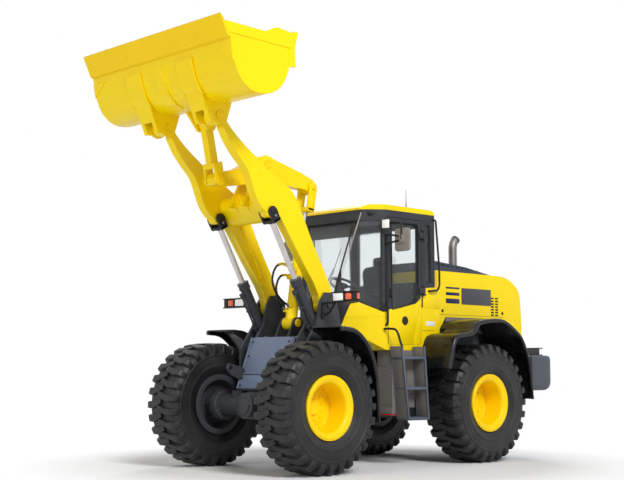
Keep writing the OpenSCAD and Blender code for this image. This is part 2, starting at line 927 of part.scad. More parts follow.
module steer_rod() {
    union() {
        xpin(steer_base[0] + 300, steer_eye[0] - 20, steer_base[1], steer_z, 25);
        zpin(steer_eye[0], steer_eye[1], steer_z - 38, steer_z + 38, 48);
    }
}

module steer_barrel_left() {
    color("DimGray")
        steer_barrel();
}

module steer_barrel_right() {
    color("DimGray")
        mirror([0, 1, 0])
            steer_barrel();
}

module steer_rod_left() {
    color("Silver")
        steer_rod();
}

module steer_rod_right() {
    color("Silver")
        mirror([0, 1, 0])
            steer_rod();
}

// wheel drawn around its own axis, outside up
module rim() {
    rotate_extrude()
        polygon([[0, -110], [200, -110], [250, -130], [286, -170], [292, -225], [rim_r, -235], [rim_r, -205],
            [322, -195], [322, 195], [rim_r, 205], [rim_r, 226], [318, 226], [300, 205], [292, 120], [286, -40],
            [262, -66], [210, -72], [200, -60], [90, -60], [80, -40], [0, -40]]);
}

module tyre() {
    r = tyre_d / 2;
    h = tyre_w / 2;
    union() {
        rotate_extrude()
            polygon([[322, -195], [rim_r, -205], [480, -h + 12], [590, -h + 6], [r - 90, -h + 22],
                [r - lug_deep, -190], [r - lug_deep, 190], [r - 90, h - 22], [590, h - 6], [480, h - 12],
                [rim_r, 205], [322, 195]]);
        for (i = [0:lugs - 1]) {
            rotate([0, 0, i * 360 / lugs])
                tyre_lug(r, h);
            rotate([0, 0, (i + 0.5) * 360 / lugs])
                mirror([0, 0, 1])
                    tyre_lug(r, h);
        }
    }
}

// one shoulder lug, from the crown over the shoulder
module tyre_lug(r, h) {
    rotate([lug_skew, 0, 0])
        rotate([90, 0, 0])
            linear_extrude(height = lug_w, center = true)
                polygon([[r - 60, -30], [r - 3, -30], [r - 3, 205], [r - 45, h - 6], [r - 130, h - 6], [r - 160, h - 40]]);
}

// side is +1 on the left and -1 on the right
module wheel_at(x, side) {
    translate([x, side * tyre_y, axle_z])
        rotate([-90 * side, 0, 0])
            children();
}

module rim_front_left() {
    color("Gold")
        wheel_at(axle_x, 1)
            rim();
}

module rim_front_right() {
    color("Gold")
        wheel_at(axle_x, -1)
            rim();
}

module rim_rear_left() {
    color("Gold")
        wheel_at(-axle_x, 1)
            rim();
}

module rim_rear_right() {
    color("Gold")
        wheel_at(-axle_x, -1)
            rim();
}

module tyre_front_left() {
    color("DarkSlateGray")
        wheel_at(axle_x, 1)
            tyre();
}

module tyre_front_right() {
    color("DarkSlateGray")
        wheel_at(axle_x, -1)
            tyre();
}

module tyre_rear_left() {
    color("DarkSlateGray")
        wheel_at(-axle_x, 1)
            tyre();
}

module tyre_rear_right() {
    color("DarkSlateGray")
        wheel_at(-axle_x, -1)
            tyre();
}

rear_frame();
rear_axle();
counterweight();
engine_hood();
hood_grilles();
engine_block();
exhaust_stack();
cab_base();
cab_shell();
cab_roof();
cab_glass();
operator_seat();
steering_console();
steps_and_rails();
side_boxes();
rear_fenders();
rear_lamps();
cab_fittings();
cab_door();
door_glass();
front_frame();
front_axle();
front_fenders();
head_lamps();
lift_arms();
bucket_pins();
bucket();
cutting_edge();
bell_crank_pin();
bell_crank();
link_pin();
bucket_link();
lift_barrel_left();
lift_barrel_right();
lift_rod_left();
lift_rod_right();
tilt_base_pin();
tilt_barrel();
tilt_rod();
steer_barrel_left();
steer_barrel_right();
steer_rod_left();
steer_rod_right();
rim_front_left();
rim_front_right();
rim_rear_left();
rim_rear_right();
tyre_front_left();
tyre_front_right();
tyre_rear_left();
tyre_rear_right();
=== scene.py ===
"""Wheel loader: finishes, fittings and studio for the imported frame.

Metres, +X forward, +Y left, +Z up, origin on the ground under the articulation pin.
"""
import math

import bmesh
import bpy
from mathutils import Matrix, Vector


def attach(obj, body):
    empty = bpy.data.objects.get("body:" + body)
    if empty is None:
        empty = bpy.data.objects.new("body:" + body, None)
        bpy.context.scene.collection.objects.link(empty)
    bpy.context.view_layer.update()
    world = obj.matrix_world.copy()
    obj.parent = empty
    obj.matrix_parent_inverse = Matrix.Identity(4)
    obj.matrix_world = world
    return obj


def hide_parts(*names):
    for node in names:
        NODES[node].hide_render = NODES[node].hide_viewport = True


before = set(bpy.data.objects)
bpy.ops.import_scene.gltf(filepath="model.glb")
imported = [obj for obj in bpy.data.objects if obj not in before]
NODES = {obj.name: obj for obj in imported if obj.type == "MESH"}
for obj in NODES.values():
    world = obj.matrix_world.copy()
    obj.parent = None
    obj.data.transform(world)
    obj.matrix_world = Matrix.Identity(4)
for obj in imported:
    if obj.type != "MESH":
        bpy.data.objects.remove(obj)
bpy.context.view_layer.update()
MM = 0.001
SIDES = ((1, "left"), (-1, "right"))

# Camera, matched to the photograph's view of 624 by 480
CAMERA_AT = Vector((10.935, 10.820, 1.187))
CAMERA_YAW = math.radians(226.21)
CAMERA_PITCH = math.radians(5.99)
CAMERA_LENS = 70.19
CAMERA_REACH = 200.0
SENSOR = 36.0


def link(name, data):
    """New object in the scene."""
    made = bpy.data.objects.new(name, data)
    bpy.context.scene.collection.objects.link(made)
    return made


def add_camera():
    data = bpy.data.cameras.new("camera")
    data.lens = CAMERA_LENS
    data.sensor_width = SENSOR
    data.clip_end = CAMERA_REACH
    camera = link("camera", data)
    flat = math.cos(CAMERA_PITCH)
    look = Vector((math.cos(CAMERA_YAW) * flat, math.sin(CAMERA_YAW) * flat, math.sin(CAMERA_PITCH)))
    camera.location = CAMERA_AT
    camera.rotation_euler = look.to_track_quat("-Z", "Y").to_euler()
    bpy.context.scene.camera = camera


# Materials
PAINT_SPECULAR = 0.22
MOULD_SPECULAR = 0.34
BEVEL_SAMPLES = 4


def hex_linear(code):
    """sRGB hex such as F2C300 as a linear RGBA colour."""
    parts = [int(code[i:i + 2], 16) / 255 for i in (0, 2, 4)]
    return [p / 12.92 if p <= 0.04045 else ((p + 0.055) / 1.055) ** 2.4 for p in parts] + [1.0]


def add_node(tree, kind, settings=None, links=None):
    """One shader node: settings by property or socket name, links from (node, socket) to a socket name."""
    made = tree.nodes.new("ShaderNode" + kind)
    for key, value in (settings or {}).items():
        if isinstance(key, str) and hasattr(made, key):
            setattr(made, key, value)
        else:
            made.inputs[key].default_value = value
    for key, (source, socket) in (links or {}).items():
        tree.links.new(source.outputs[socket], made.inputs[key])
    return made


def new_material(name):
    made = bpy.data.materials.new(name)
    made.use_nodes = True
    made.node_tree.nodes.clear()
    return made, made.node_tree


def end_material(made, shader):
    add_node(made.node_tree, "OutputMaterial", links={"Surface": (shader, 0)})
    return made


def own_place(tree):
    """The piece's own coordinates, as a link."""
    return add_node(tree, "TexCoord"), "Object"


def per_metre(size_mm):
    """Pattern scale, in repeats per metre, for a feature of that size."""
    return 1000.0 / size_mm


def noise(tree, place, size_mm, detail):
    return add_node(tree, "TexNoise", {"Scale": per_metre(size_mm), "Detail": detail}, {"Vector": place})


def remap(tree, source, start, end):
    """Carries one range of a pattern over to another."""
    settings = {"From Min": start[0], "From Max": start[1], "To Min": end[0], "To Max": end[1]}
    return add_node(tree, "MapRange", settings, {"Value": (source, 0)})


def blend(tree, share, first, second):
    settings = {"data_type": "RGBA", 6: hex_linear(first), 7: hex_linear(second)}
    return add_node(tree, "Mix", settings, {0: (share, 0)})


def relief(tree, height, strength, depth_mm, edge_mm=0.0):
    """Fine relief in the shading, over softened edges where an edge is given."""
    links = {"Height": (height, 0)}
    if edge_mm:
        links["Normal"] = (add_node(tree, "Bevel", {"samples": BEVEL_SAMPLES, "Radius": edge_mm * MM}), 0)
    return add_node(tree, "Bump", {"Strength": strength, "Distance": depth_mm * MM}, links)


def surface(made, settings, tint, gloss, skin_relief):
    """Ends a material whose colour, gloss and relief come from patterns."""
    shader = add_node(made.node_tree, "BsdfPrincipled", settings,
                      {"Base Color": (tint, 2), "Roughness": (gloss, 0), "Normal": (skin_relief, 0)})
    return end_material(made, shader)


def enamel(name, light, dark, roughness, coat, edge_mm=4.0, grime=0.25):
    """Sprayed machine enamel: even colour, a faint orange peel, dust in broad patches and softened edges."""
    made, tree = new_material(name)
    place = own_place(tree)
    patches = remap(tree, noise(tree, place, 900, 3.0), (0.42, 0.72), (0.0, grime))
    fine = noise(tree, place, 14, 2.0)
    gloss = remap(tree, fine, (0.3, 0.7), (roughness - 0.04, roughness + 0.06))
    settings = {"IOR": 1.5, "Specular IOR Level": PAINT_SPECULAR, "Coat Weight": coat, "Coat Roughness": 0.12}
    tint = blend(tree, patches, light, dark)
    return surface(made, settings, tint, gloss, relief(tree, fine, 0.04, 2, edge_mm))


def moulded(name, light, dark, roughness, grain_mm, depth, edge_mm=3.0):
    """Moulded plastic or rubber: a fine pebbled skin with uneven dust."""
    made, tree = new_material(name)
    place = own_place(tree)
    dust = noise(tree, place, 300, 4.0)
    patches = remap(tree, dust, (0.4, 0.75), (0.0, 1.0))
    grain = add_node(tree, "TexVoronoi", {"Scale": per_metre(grain_mm)}, {"Vector": place})
    gloss = remap(tree, dust, (0.0, 1.0), (roughness - 0.06, roughness + 0.08))
    settings = {"IOR": 1.5, "Specular IOR Level": MOULD_SPECULAR}
    tint = blend(tree, patches, dark, light)
    return surface(made, settings, tint, gloss, relief(tree, grain, depth, 2, edge_mm))


def metal(name, light, dark, roughness, streak_mm, streak, bump):
    """Ground or polished steel: fine streaks along the part and a little uneven wear."""
    made, tree = new_material(name)
    stretch = add_node(tree, "Mapping", {"Scale": streak}, {"Vector": own_place(tree)})
    lines = noise(tree, (stretch, 0), streak_mm, 3.0)
    gloss = remap(tree, lines, (0.0, 1.0), (roughness - 0.05, roughness + 0.08))
    tint = blend(tree, lines, dark, light)
    return surface(made, {"Metallic": 1.0}, tint, gloss, relief(tree, lines, bump, 1))


def safety_glass(name, colour, roughness=0.02):
    """Tinted flat safety glass: clear through, sharp reflections, a trace of dust.

    The coat mirrors like glass; the low index keeps a thin pane from mirroring the cab's inside at a slant.
    """
    made, tree = new_material(name)
    dust = noise(tree, own_place(tree), 250, 4.0)
    haze = remap(tree, dust, (0.45, 0.8), (roughness, roughness + 0.05))
    settings = {"Base Color": hex_linear(colour), "IOR": 1.1, "Transmission Weight": 0.92, "Alpha": 0.30,
                "Coat Weight": 1.0, "Coat Roughness": 0.02}
    return end_material(made, add_node(tree, "BsdfPrincipled", settings, {"Roughness": (haze, 0)}))


def lens(name, colour, glow=0.0):
    """Moulded lamp lens: coloured clear plastic with prism ribs behind a smooth face."""
    made, tree = new_material(name)
    ribs = add_node(tree, "TexWave", {"Scale": per_metre(60), "Distortion": 0.0}, {"Vector": own_place(tree)})
    settings = {"Base Color": hex_linear(colour), "Roughness": 0.12, "IOR": 1.49, "Coat Weight": 0.6,
                "Coat Roughness": 0.03, "Emission Color": hex_linear(colour), "Emission Strength": glow}
    prism = relief(tree, ribs, 0.25, 3)
    return end_material(made, add_node(tree, "BsdfPrincipled", settings, {"Normal": (prism, 0)}))


# Sprayed two-pack enamel on welded plate: even warm yellow, soft gloss, fine orange peel
YELLOW = enamel("sprayed_yellow_enamel", "FFDE00", "F4C900", 0.36, 0.108)
# Enamel on pressed wheel steel: deeper yellow in the dish, less gloss
YELLOW_CAST = enamel("sprayed_yellow_on_wheel_steel", "FFD600", "F2C200", 0.42, 0.06)
# Enamel on frame plate: dark neutral grey, satin, dust in the hollows
GREY = enamel("sprayed_dark_grey_enamel", "3B3D42", "2A2B2F", 0.42, 0.06)
# Enamel on cover plates: bluish mid grey, satin
GREY_BLUE = enamel("sprayed_blue_grey_enamel", "69758D", "545D71", 0.40, 0.06)
# Enamel on the upper engine cover: dark slate
SLATE = enamel("sprayed_slate_enamel", "363C4A", "292E38", 0.45, 0.06)
# Enamel on tank sheet: warm mid grey, dusty in the folds
TANK_GREY = enamel("sprayed_warm_grey_enamel", "7C7773", "635F5C", 0.48, 0.03, 6.0, 0.5)
# Enamel on ladder steel: pale blue grey with scuffs
LADDER_GREY = enamel("sprayed_ladder_grey_enamel", "5C6371", "41464F", 0.44, 0.03, 3.0, 0.6)
# Black enamel on forgings and pipes: deep, half gloss
BLACK = enamel("sprayed_black_enamel", "1D1E21", "121214", 0.34, 0.09)
# Navy trim strip, screen printed film: flat, smooth
NAVY = enamel("printed_navy_film", "23244C", "1C1D3E", 0.40, 0.03, 1.0, 0.2)
# Blank plate, printed film on sheet: smooth dark grey
PLATE = enamel("printed_grey_film", "4B4C52", "424349", 0.38, 0.06, 1.0, 0.3)
# Painted cast iron: coarse skin, dull, blue grey
IRON = enamel("painted_cast_iron", "535860", "40444B", 0.55, 0.0, 8.0)
# Polypropylene, injection moulded: black, pebbled, glossy on the edges
PLASTIC = moulded("moulded_black_polypropylene", "252629", "141517", 0.20, 6, 0.04, 6.0)
# Cab trim, moulded ABS: dull dark grey with a fine grain
TRIM = moulded("moulded_trim_abs", "3A3D44", "2A2C31", 0.6, 4, 0.10)
# Mirror back, moulded ABS: warm grey
MIRROR_GREY = moulded("moulded_mirror_abs", "928D8A", "7B7774", 0.45, 5, 0.06)
# Tyre rubber, moulded: almost black, dull, greyer where dust lies
RUBBER = moulded("moulded_tyre_rubber", "2E2E30", "19191B", 0.46, 9, 0.16)
# Hose rubber, wrapped and cured: black, faint cloth print
HOSE = moulded("wrapped_hose_rubber", "1F1F21", "101011", 0.45, 5, 0.2)
# Window seal, extruded EPDM rubber: flat black
SEAL = moulded("extruded_epdm_seal", "1A1B1D", "111112", 0.55, 8, 0.05, 2.0)
# Seat cloth, woven polyester; the weave is drawn coarser than its 1 mm so that it shows
CLOTH = moulded("woven_polyester_cloth", "45464B", "2A2B2F", 0.9, 4, 0.5)
# Hard chrome, ground and polished: bright with fine rings
CHROME = metal("ground_hard_chrome", "D8D4D2", "B7B2B0", 0.20, 60, (1, 1, 0.05), 0.01)
# Zinc plated fasteners: soft grey shine
STEEL = metal("zinc_plated_steel", "B0B2B6", "85878C", 0.38, 40, (0.1, 1, 1), 0.06)
# Exhaust pipe, rolled steel gone dull with heat: warm grey, faint streaks
EXHAUST = metal("heat_dulled_steel", "8E8B88", "6A6764", 0.46, 30, (1, 1, 0.1), 0.05)
# Blank sign, printed film on sheet: smooth white
WHITE_FILM = enamel("printed_white_film", "F0EFEA", "DEDCD6", 0.40, 0.03, 1.0, 0.2)
# Silvered mirror glass: sharp reflection
SILVER = metal("silvered_mirror_glass", "E8ECEE", "DDE2E5", 0.06, 400, (1, 1, 1), 0.0)
# Tinted float glass: clear, cool grey cast, sharp reflection
GLASS = safety_glass("tinted_float_glass", "D3E0E3")
# Lamp lenses, moulded polycarbonate: ribbed behind a smooth face
CLEAR_LENS = lens("moulded_clear_polycarbonate", "F0F2F3", 0.15)
AMBER_LENS = lens("moulded_amber_polycarbonate", "EA5B1B", 0.15)
RED_LENS = lens("moulded_red_polycarbonate", "B3120E", 0.05)

# The finish of each solid; those that a piece replaces are hidden and keep theirs
FINISHES = (
    (GREY, "rear_frame rear_axle front_frame front_axle lift_barrel_left lift_barrel_right"),
    (IRON, "counterweight engine_block"),
    (YELLOW, "engine_hood cab_base cab_roof lift_arms bucket bell_crank bucket_link tilt_barrel"),
    (YELLOW_CAST, "bucket_pins cutting_edge bell_crank_pin link_pin tilt_base_pin"),
    (YELLOW_CAST, "rim_front_left rim_front_right rim_rear_left rim_rear_right"),
    (RUBBER, "tyre_front_left tyre_front_right tyre_rear_left tyre_rear_right"),
    (SLATE, "hood_grilles"),
    (EXHAUST, "exhaust_stack"),
    (TRIM, "cab_shell steering_console cab_door"),
    (GLASS, "cab_glass door_glass"),
    (CLOTH, "operator_seat"),
    (BLACK, "steps_and_rails steer_barrel_left steer_barrel_right"),
    (TANK_GREY, "side_boxes"),
    (PLASTIC, "rear_fenders front_fenders cab_fittings"),
    (RED_LENS, "rear_lamps"),
    (CLEAR_LENS, "head_lamps"),
    (CHROME, "tilt_rod lift_rod_left lift_rod_right steer_rod_left steer_rod_right"),
)


def paint_nodes():
    for made, names in FINISHES:
        for name in names.split():
            slots = NODES[name].material_slots
            for one in slots:
                one.material = made
            if not slots:
                NODES[name].data.materials.append(made)


# Shapes are drawn in millimetres, as the part's source is, and become metres when a piece is kept
CREASE = 38.0
# The slot of each finish, looked up where a piece names no other
SLOTS = (("yellow_paint", (YELLOW, YELLOW_CAST, WHITE_FILM)),
         ("grey_paint", (GREY, GREY_BLUE, TANK_GREY, PLATE)),
         ("black_paint", (BLACK, SLATE, NAVY, LADDER_GREY)),
         ("black_plastic", (PLASTIC, TRIM, MIRROR_GREY, SEAL)),
         ("iron_grey", (IRON,)), ("tyre_rubber", (RUBBER,)), ("seat_cloth", (CLOTH,)),
         ("bare_steel", (STEEL,)), ("chrome_rod", (CHROME, SILVER)),
         ("lamp_clear", (CLEAR_LENS,)), ("lamp_red", (AMBER_LENS, RED_LENS)))
SLOT_OF = {finish: slot for slot, finishes in SLOTS for finish in finishes}


def keep(name, bm, finish, body="rear_unit", slot=None, replaced=(), crease=CREASE):
    """Turns a drawn shape into a piece that rides on a body."""
    bmesh.ops.recalc_face_normals(bm, faces=bm.faces[:])
    bmesh.ops.scale(bm, vec=(MM, MM, MM), verts=bm.verts[:])
    data = bpy.data.meshes.new(name)
    bm.to_mesh(data)
    bm.free()
    data.shade_smooth()
    data.set_sharp_from_angle(angle=math.radians(crease))
    data.materials.append(finish)
    made = link(name, data)
    slot = slot or SLOT_OF[finish]
    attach(made, body)
    if replaced:
        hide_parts(*replaced)
    return made


def once(side, node):
    """A node with two halves is replaced by the left piece of a pair."""
    return [node] if side > 0 else ()


def around(count, start=0.0):
    """Angles that share out a full turn."""
    return [2 * math.pi * (i + start) / count for i in range(count)]


def soften(bm, verts, ease, steps):
    """Rounds the edges of a new shape."""
    if ease > 0:
        edges = list(dict.fromkeys(e for v in verts for e in v.link_edges))
        bmesh.ops.bevel(bm, geom=edges, offset=ease, offset_type="OFFSET", segments=steps, profile=0.5,
                        affect="EDGES", clamp_overlap=True)


def block(bm, low, high, ease=0.0, steps=2):
    verts = bmesh.ops.create_cube(bm, size=1.0)["verts"]
    for v in verts:
        v.co = Vector([low[i] + (v.co[i] + 0.5) * (high[i] - low[i]) for i in range(3)])
    soften(bm, verts, ease, steps)


def outward(side, y):
    """Two distances from the middle plane on one side, low to high."""
    return sorted(side * one for one in y)


def side_block(bm, side, x, y, z, ease=0.0, steps=2):
    """Block on one side of the machine: its reach in x and z, and in y outward from the middle."""
    low, high = outward(side, y)
    block(bm, (x[0], low, z[0]), (x[1], high, z[1]), ease, steps)


def from_side(u, w, t):
    """Outline in x and z, thickness in y."""
    return Vector((u, t, w))


def from_front(u, w, t):
    """Outline in y and z, thickness in x."""
    return Vector((t, u, w))


def skin(bm, rows, closed=True, ends=True):
    """Faces between rows of points; closed rows run round, and ends are capped."""
    count = len(rows[0])
    for low, high in zip(rows, rows[1:]):
        for i in range(count if closed else count - 1):
            k = (i + 1) % count
            bm.faces.new((low[i], low[k], high[k], high[i]))
    if ends:
        bm.faces.new(rows[0][::-1])
        bm.faces.new(rows[-1])


def plate(bm, outline, at, low, high, ease=0.0, steps=2):
    """Flat outline of (u, w) points, as thick as low to high, placed by at(u, w, t)."""
    rows = [[bm.verts.new(at(u, w, t)) for u, w in outline] for t in (low, high)]
    skin(bm, rows)
    soften(bm, rows[0] + rows[1], ease, steps)


def side_plate(bm, side, outline, y, ease=0.0):
    """Plate on one side of the machine, its thickness given outward from the middle."""
    low, high = outward(side, y)
    plate(bm, outline, from_side, low, high, ease)


def hoop(bm, centre, first, second, radius, sides):
    spokes = [first * math.cos(a) + second * math.sin(a) for a in around(sides)]
    return [bm.verts.new(centre + radius * spoke) for spoke in spokes]


def hoops(bm, profile, foot, axis, sides):
    """Hoops about an axis for a profile of (along, radius) points."""
    axis = Vector(axis).normalized()
    first = axis.orthogonal().normalized()
    second = axis.cross(first)
    return [hoop(bm, Vector(foot) + axis * along, first, second, radius, sides) for along, radius in profile]


def turned(bm, profile, foot, axis, sides=40):
    """Turned shape: (along, radius) points from a foot along an axis, with flat ends."""
    skin(bm, hoops(bm, profile, foot, axis, sides))


def ring(bm, profile, foot, axis, sides=48):
    """Closed ring: the (along, radius) outline goes round the axis."""
    rows = hoops(bm, profile, foot, axis, sides)
    skin(bm, rows + rows[:1], ends=False)


def bent(points, radius, steps=6):
    """Route with its corners rounded."""
    points = [Vector(q) for q in points]
    route = [points[0]]
    for before, corner, after in zip(points, points[1:], points[2:]):
        one = before - corner
        two = after - corner
        reach = min(radius, 0.49 * one.length, 0.49 * two.length)
        start = corner + one.normalized() * reach
        end = corner + two.normalized() * reach
        for i in range(steps + 1):
            t = i / steps
            route.append(start * (1 - t) ** 2 + corner * (2 * t * (1 - t)) + end * t ** 2)
    return route + [points[-1]]


def tube(bm, route, radius, sides=14):
    """Round bar or pipe along a route."""
    route = [Vector(q) for q in route]
    ways = [(b - a).normalized() for a, b in zip(route, route[1:])]
    ways = [ways[0]] + [(a + b).normalized() for a, b in zip(ways, ways[1:])] + [ways[-1]]
    first = ways[0].orthogonal().normalized()
    rows = []
    for at, way in zip(route, ways):
        first = (first - way * first.dot(way)).normalized()
        rows.append(hoop(bm, at, first, way.cross(first), radius, sides))
    skin(bm, rows)


def side_tube(bm, side, points, bend, radius):
    """Bent bar on one side of the machine, its y given outward from the middle."""
    tube(bm, bent([(x, side * y, z) for x, y, z in points], bend), radius)


def bolt(bm, at, axis, size):
    """Washer and hexagon head; size is the thread."""
    turned(bm, [(0, size * 1.15), (size * 0.18, size * 1.15)], at, axis, 20)
    turned(bm, [(size * 0.16, size * 0.95), (size * 0.7, size * 0.95), (size * 0.8, size * 0.8)], at, axis, 6)


def line_place(at, way, y):
    """Placing along a cylinder: u forward and down, w along it, t to the left."""
    dx, dz = Vector(way).normalized()
    return lambda u, w, t: Vector((at[0] + u * dz + w * dx, y + t, at[1] - u * dx + w * dz))


def box_outline(u0, u1, w0, w1):
    return [(u0, w0), (u1, w0), (u1, w1), (u0, w1)]


def tongue(width, root, tip, steps=14):
    """Outline of a lug with a round tip."""
    half = width / 2
    arc = [math.pi * i / steps for i in range(steps + 1)]
    return [(-half, root)] + [(-half * math.cos(a), tip + half * math.sin(a)) for a in arc] + [(half, root)]


def between(table, v):
    """Straight lines between the rows of a table of (v, a, b, ...)."""
    for low, high in zip(table, table[1:]):
        if v <= high[0]:
            t = (v - low[0]) / (high[0] - low[0])
            return [p + (q - p) * t for p, q in zip(low[1:], high[1:])]
    return list(table[-1][1:])


# Tyres: carcass and tread lugs, as (across, radius) from the wheel's middle plane
TYRE_HALF = [(0, 709), (100, 708), (190, 704), (228, 672), (243, 645), (250, 612), (256.8, 606), (257.6, 596),
             (256.6, 586), (252, 580), (254.5, 550), (253.5, 505), (252, 480), (254.5, 474), (254.5, 464),
             (250, 458), (246, 440), (222, 385), (205, 360.5), (195, 324)]
# A lug's station along its length, with its two edges round the tread
LUG_EDGES = [(-35, -92, -18), (0, -80, -6), (100, -50, 34), (130, -48, 44), (335, -38, 38)]
# A lug's station, with the place and radius of its top and of its root
LUG_RISE = [(-35, -35, 743, -35, 700), (0, 0, 744.4, 0, 700), (200, 200, 741, 195, 694),
            (229, 228, 733, 216, 676), (257, 246, 712, 230, 655),
            (290, 254, 680, 238, 630), (335, 257.2, 634, 246, 606)]
LUG_STATIONS = (-35, 0, 50, 100, 130, 170, 200, 229, 257, 290, 335)
LUGS = 28
LUG_EDGE = 7.0
LUG_DRAFT = 4.0
LUG_SHOULDER = 0.22
TREAD_R = 745.0
AXLE_X = 1420.0
AXLE_Z = 745.0
WHEEL_Y = 965.0
RIM_LIP = [(224, 326), (231, 330), (233, 338), (230, 346), (224, 350)]
HUB_LIP = [(-41, 84), (-36, 80), (-36, 66), (-41, 62)]
RIM_DISH = [(228, 330), (228, 322), (208, 284), (198, 275), (176, 270), (-48, 262), (-48, 274), (170, 282),
            (190, 292), (214, 322)]
# Inner side of the wheel, from the tyre bead in to the hub: painted shade, a dark grey ring that hides the
# rim's yellow inside where shade falls
RIM_INNER_PAINTED_SHADE = [(-206, 362.5), (-237, 362.5), (-240, 356), (-240, 298), (-228, 288), (-174, 282), (-136, 250),
            (-116, 200), (-116, 126), (-111, 126), (-111, 200), (-128, 250), (-168, 288), (-222, 294),
            (-235, 300), (-235, 360.6)]
VALVE = [(0, 12), (20, 12), (22, 7), (60, 7), (62, 9), (78, 9), (80, 6)]


def add_tyre(x, side, end, hand):
    label = "%s_%s" % (end, hand)
    wheel = "wheel_%s_body" % label
    centre = Vector((x, side * WHEEL_Y, AXLE_Z))
    out = (0, side, 0)

    def on_wheel(angle, across, radius):
        return centre + Vector((radius * math.cos(angle), side * across, radius * math.sin(angle)))

    bm = bmesh.new()
    ring(bm, TYRE_HALF[::-1] + [(-a, r) for a, r in TYRE_HALF[1:]], centre, (0, 1, 0), 144)
    for face in (1, -1):
        for turn in around(LUGS, 0.5 if face < 0 else 0.0):
            rows = []
            for v in LUG_STATIONS:
                left, right = between(LUG_EDGES, v)
                top_y, top_r, base_y, base_r = between(LUG_RISE, v)
                mid_y = top_y + LUG_SHOULDER * (base_y - top_y)
                mid_r = top_r + LUG_SHOULDER * (base_r - top_r)
                section = ((left - LUG_DRAFT, base_y, base_r), (left, mid_y, mid_r),
                           (left + LUG_EDGE, top_y, top_r), (right - LUG_EDGE, top_y, top_r),
                           (right, mid_y, mid_r), (right + LUG_DRAFT, base_y, base_r))
                rows.append([bm.verts.new(on_wheel(-turn - s / TREAD_R, face * y, r)) for s, y, r in section])
            skin(bm, rows, closed=False)
    keep("tyre_%s_moulded" % label, bm, RUBBER, wheel, replaced=["tyre_" + label], crease=30.0)

    bm = bmesh.new()
    ring(bm, RIM_LIP, centre, out, 96)
    ring(bm, HUB_LIP, centre, out)
    ring(bm, RIM_DISH, centre, out, 96)
    keep("rim_ring_" + label, bm, YELLOW_CAST, wheel)
    # Painted shade: a dark grey ring, with its bolts, covers the yellow inside of the rim
    bm = bmesh.new()
    ring(bm, RIM_INNER_PAINTED_SHADE, centre, out, 96)
    for a in around(16):
        bolt(bm, on_wheel(a, -115, 186), (0, -side, 0), 13)
    keep("wheel_inner_painted_shade_" + label, bm, GREY, wheel)
    bm = bmesh.new()
    turned(bm, VALVE, centre + Vector((60, side * -64, -232)), out, 16)
    for a in around(12, 0.5):
        bolt(bm, on_wheel(a, -61, 150), out, 15)
    keep("wheel_nuts_" + label, bm, YELLOW_CAST, wheel)


# Cylinders, each from its base pin to its rod pin, as (x, z)
ARM_Y = 470.0
LIFT_BASE, LIFT_PIN = (800, 1360), (1715, 2970)
TILT_BASE, TILT_PIN = (920, 1720), (640, 3400)
LIFT_WAY = (LIFT_PIN[0] - LIFT_BASE[0], LIFT_PIN[1] - LIFT_BASE[1])
TILT_WAY = (TILT_PIN[0] - TILT_BASE[0], TILT_PIN[1] - TILT_BASE[1])
LIFT_LEN = math.hypot(*LIFT_WAY)
TILT_LEN = math.hypot(*TILT_WAY)


def add_lift_cylinder(side, hand):
    at = line_place(LIFT_BASE, LIFT_WAY, side * ARM_Y)
    foot = at(0, 0, 0)
    axis = at(0, 1, 0) - foot
    rod_body = "lift_rod_body_" + hand
    bm = bmesh.new()
    turned(bm, [(880, 30), (884, 34), (LIFT_LEN - 125, 34)], foot, axis, 48)
    keep("lift_rod_chromed_" + hand, bm, CHROME, rod_body, replaced=["lift_rod_" + hand])
    bm = bmesh.new()
    turned(bm, [(LIFT_LEN - 146, 40), (LIFT_LEN - 140, 48), (LIFT_LEN - 118, 54)], foot, axis)
    yoke = [(-50, 140), (50, 140), (54, 125), (54, 98), (-54, 98), (-54, 125)]
    plate(bm, [(u, LIFT_LEN - back) for u, back in yoke], at, -100, 100, 10)
    for low, high in ((70, 100), (-100, -70)):
        plate(bm, tongue(116, LIFT_LEN - 130, LIFT_LEN), at, low, high, 8)
    for out in (1, -1):
        turned(bm, [(0, 36), (6, 36), (9, 32), (7, 20)], at(0, LIFT_LEN, out * 100), (0, out, 0))
    keep("lift_fork_" + hand, bm, BLACK, rod_body)
    bm = bmesh.new()
    for out in (1, -1):
        bolt(bm, at(0, LIFT_LEN - 62, out * 100), (0, out, 0), 13)
    keep("lift_fork_bolts_" + hand, bm, STEEL, rod_body)
    bm = bmesh.new()
    tube(bm, bent([at(62, 180, 0), at(92, 180, 0), at(92, 850, 0), at(66, 850, 0)], 30), 11)
    for w in (180, 850):
        plate(bm, box_outline(52, 104, w - 28, w + 28), at, -24, 24, 5)
    for w in (400, 640):
        plate(bm, box_outline(56, 106, w - 12, w + 12), at, -20, 20, 4)
    for w in (905, 972):
        ring(bm, [(w, 68), (w, 73), (w + 12, 73), (w + 12, 68)], foot, axis)
    keep("lift_barrel_pipe_" + hand, bm, GREY, "lift_barrel_body_" + hand)


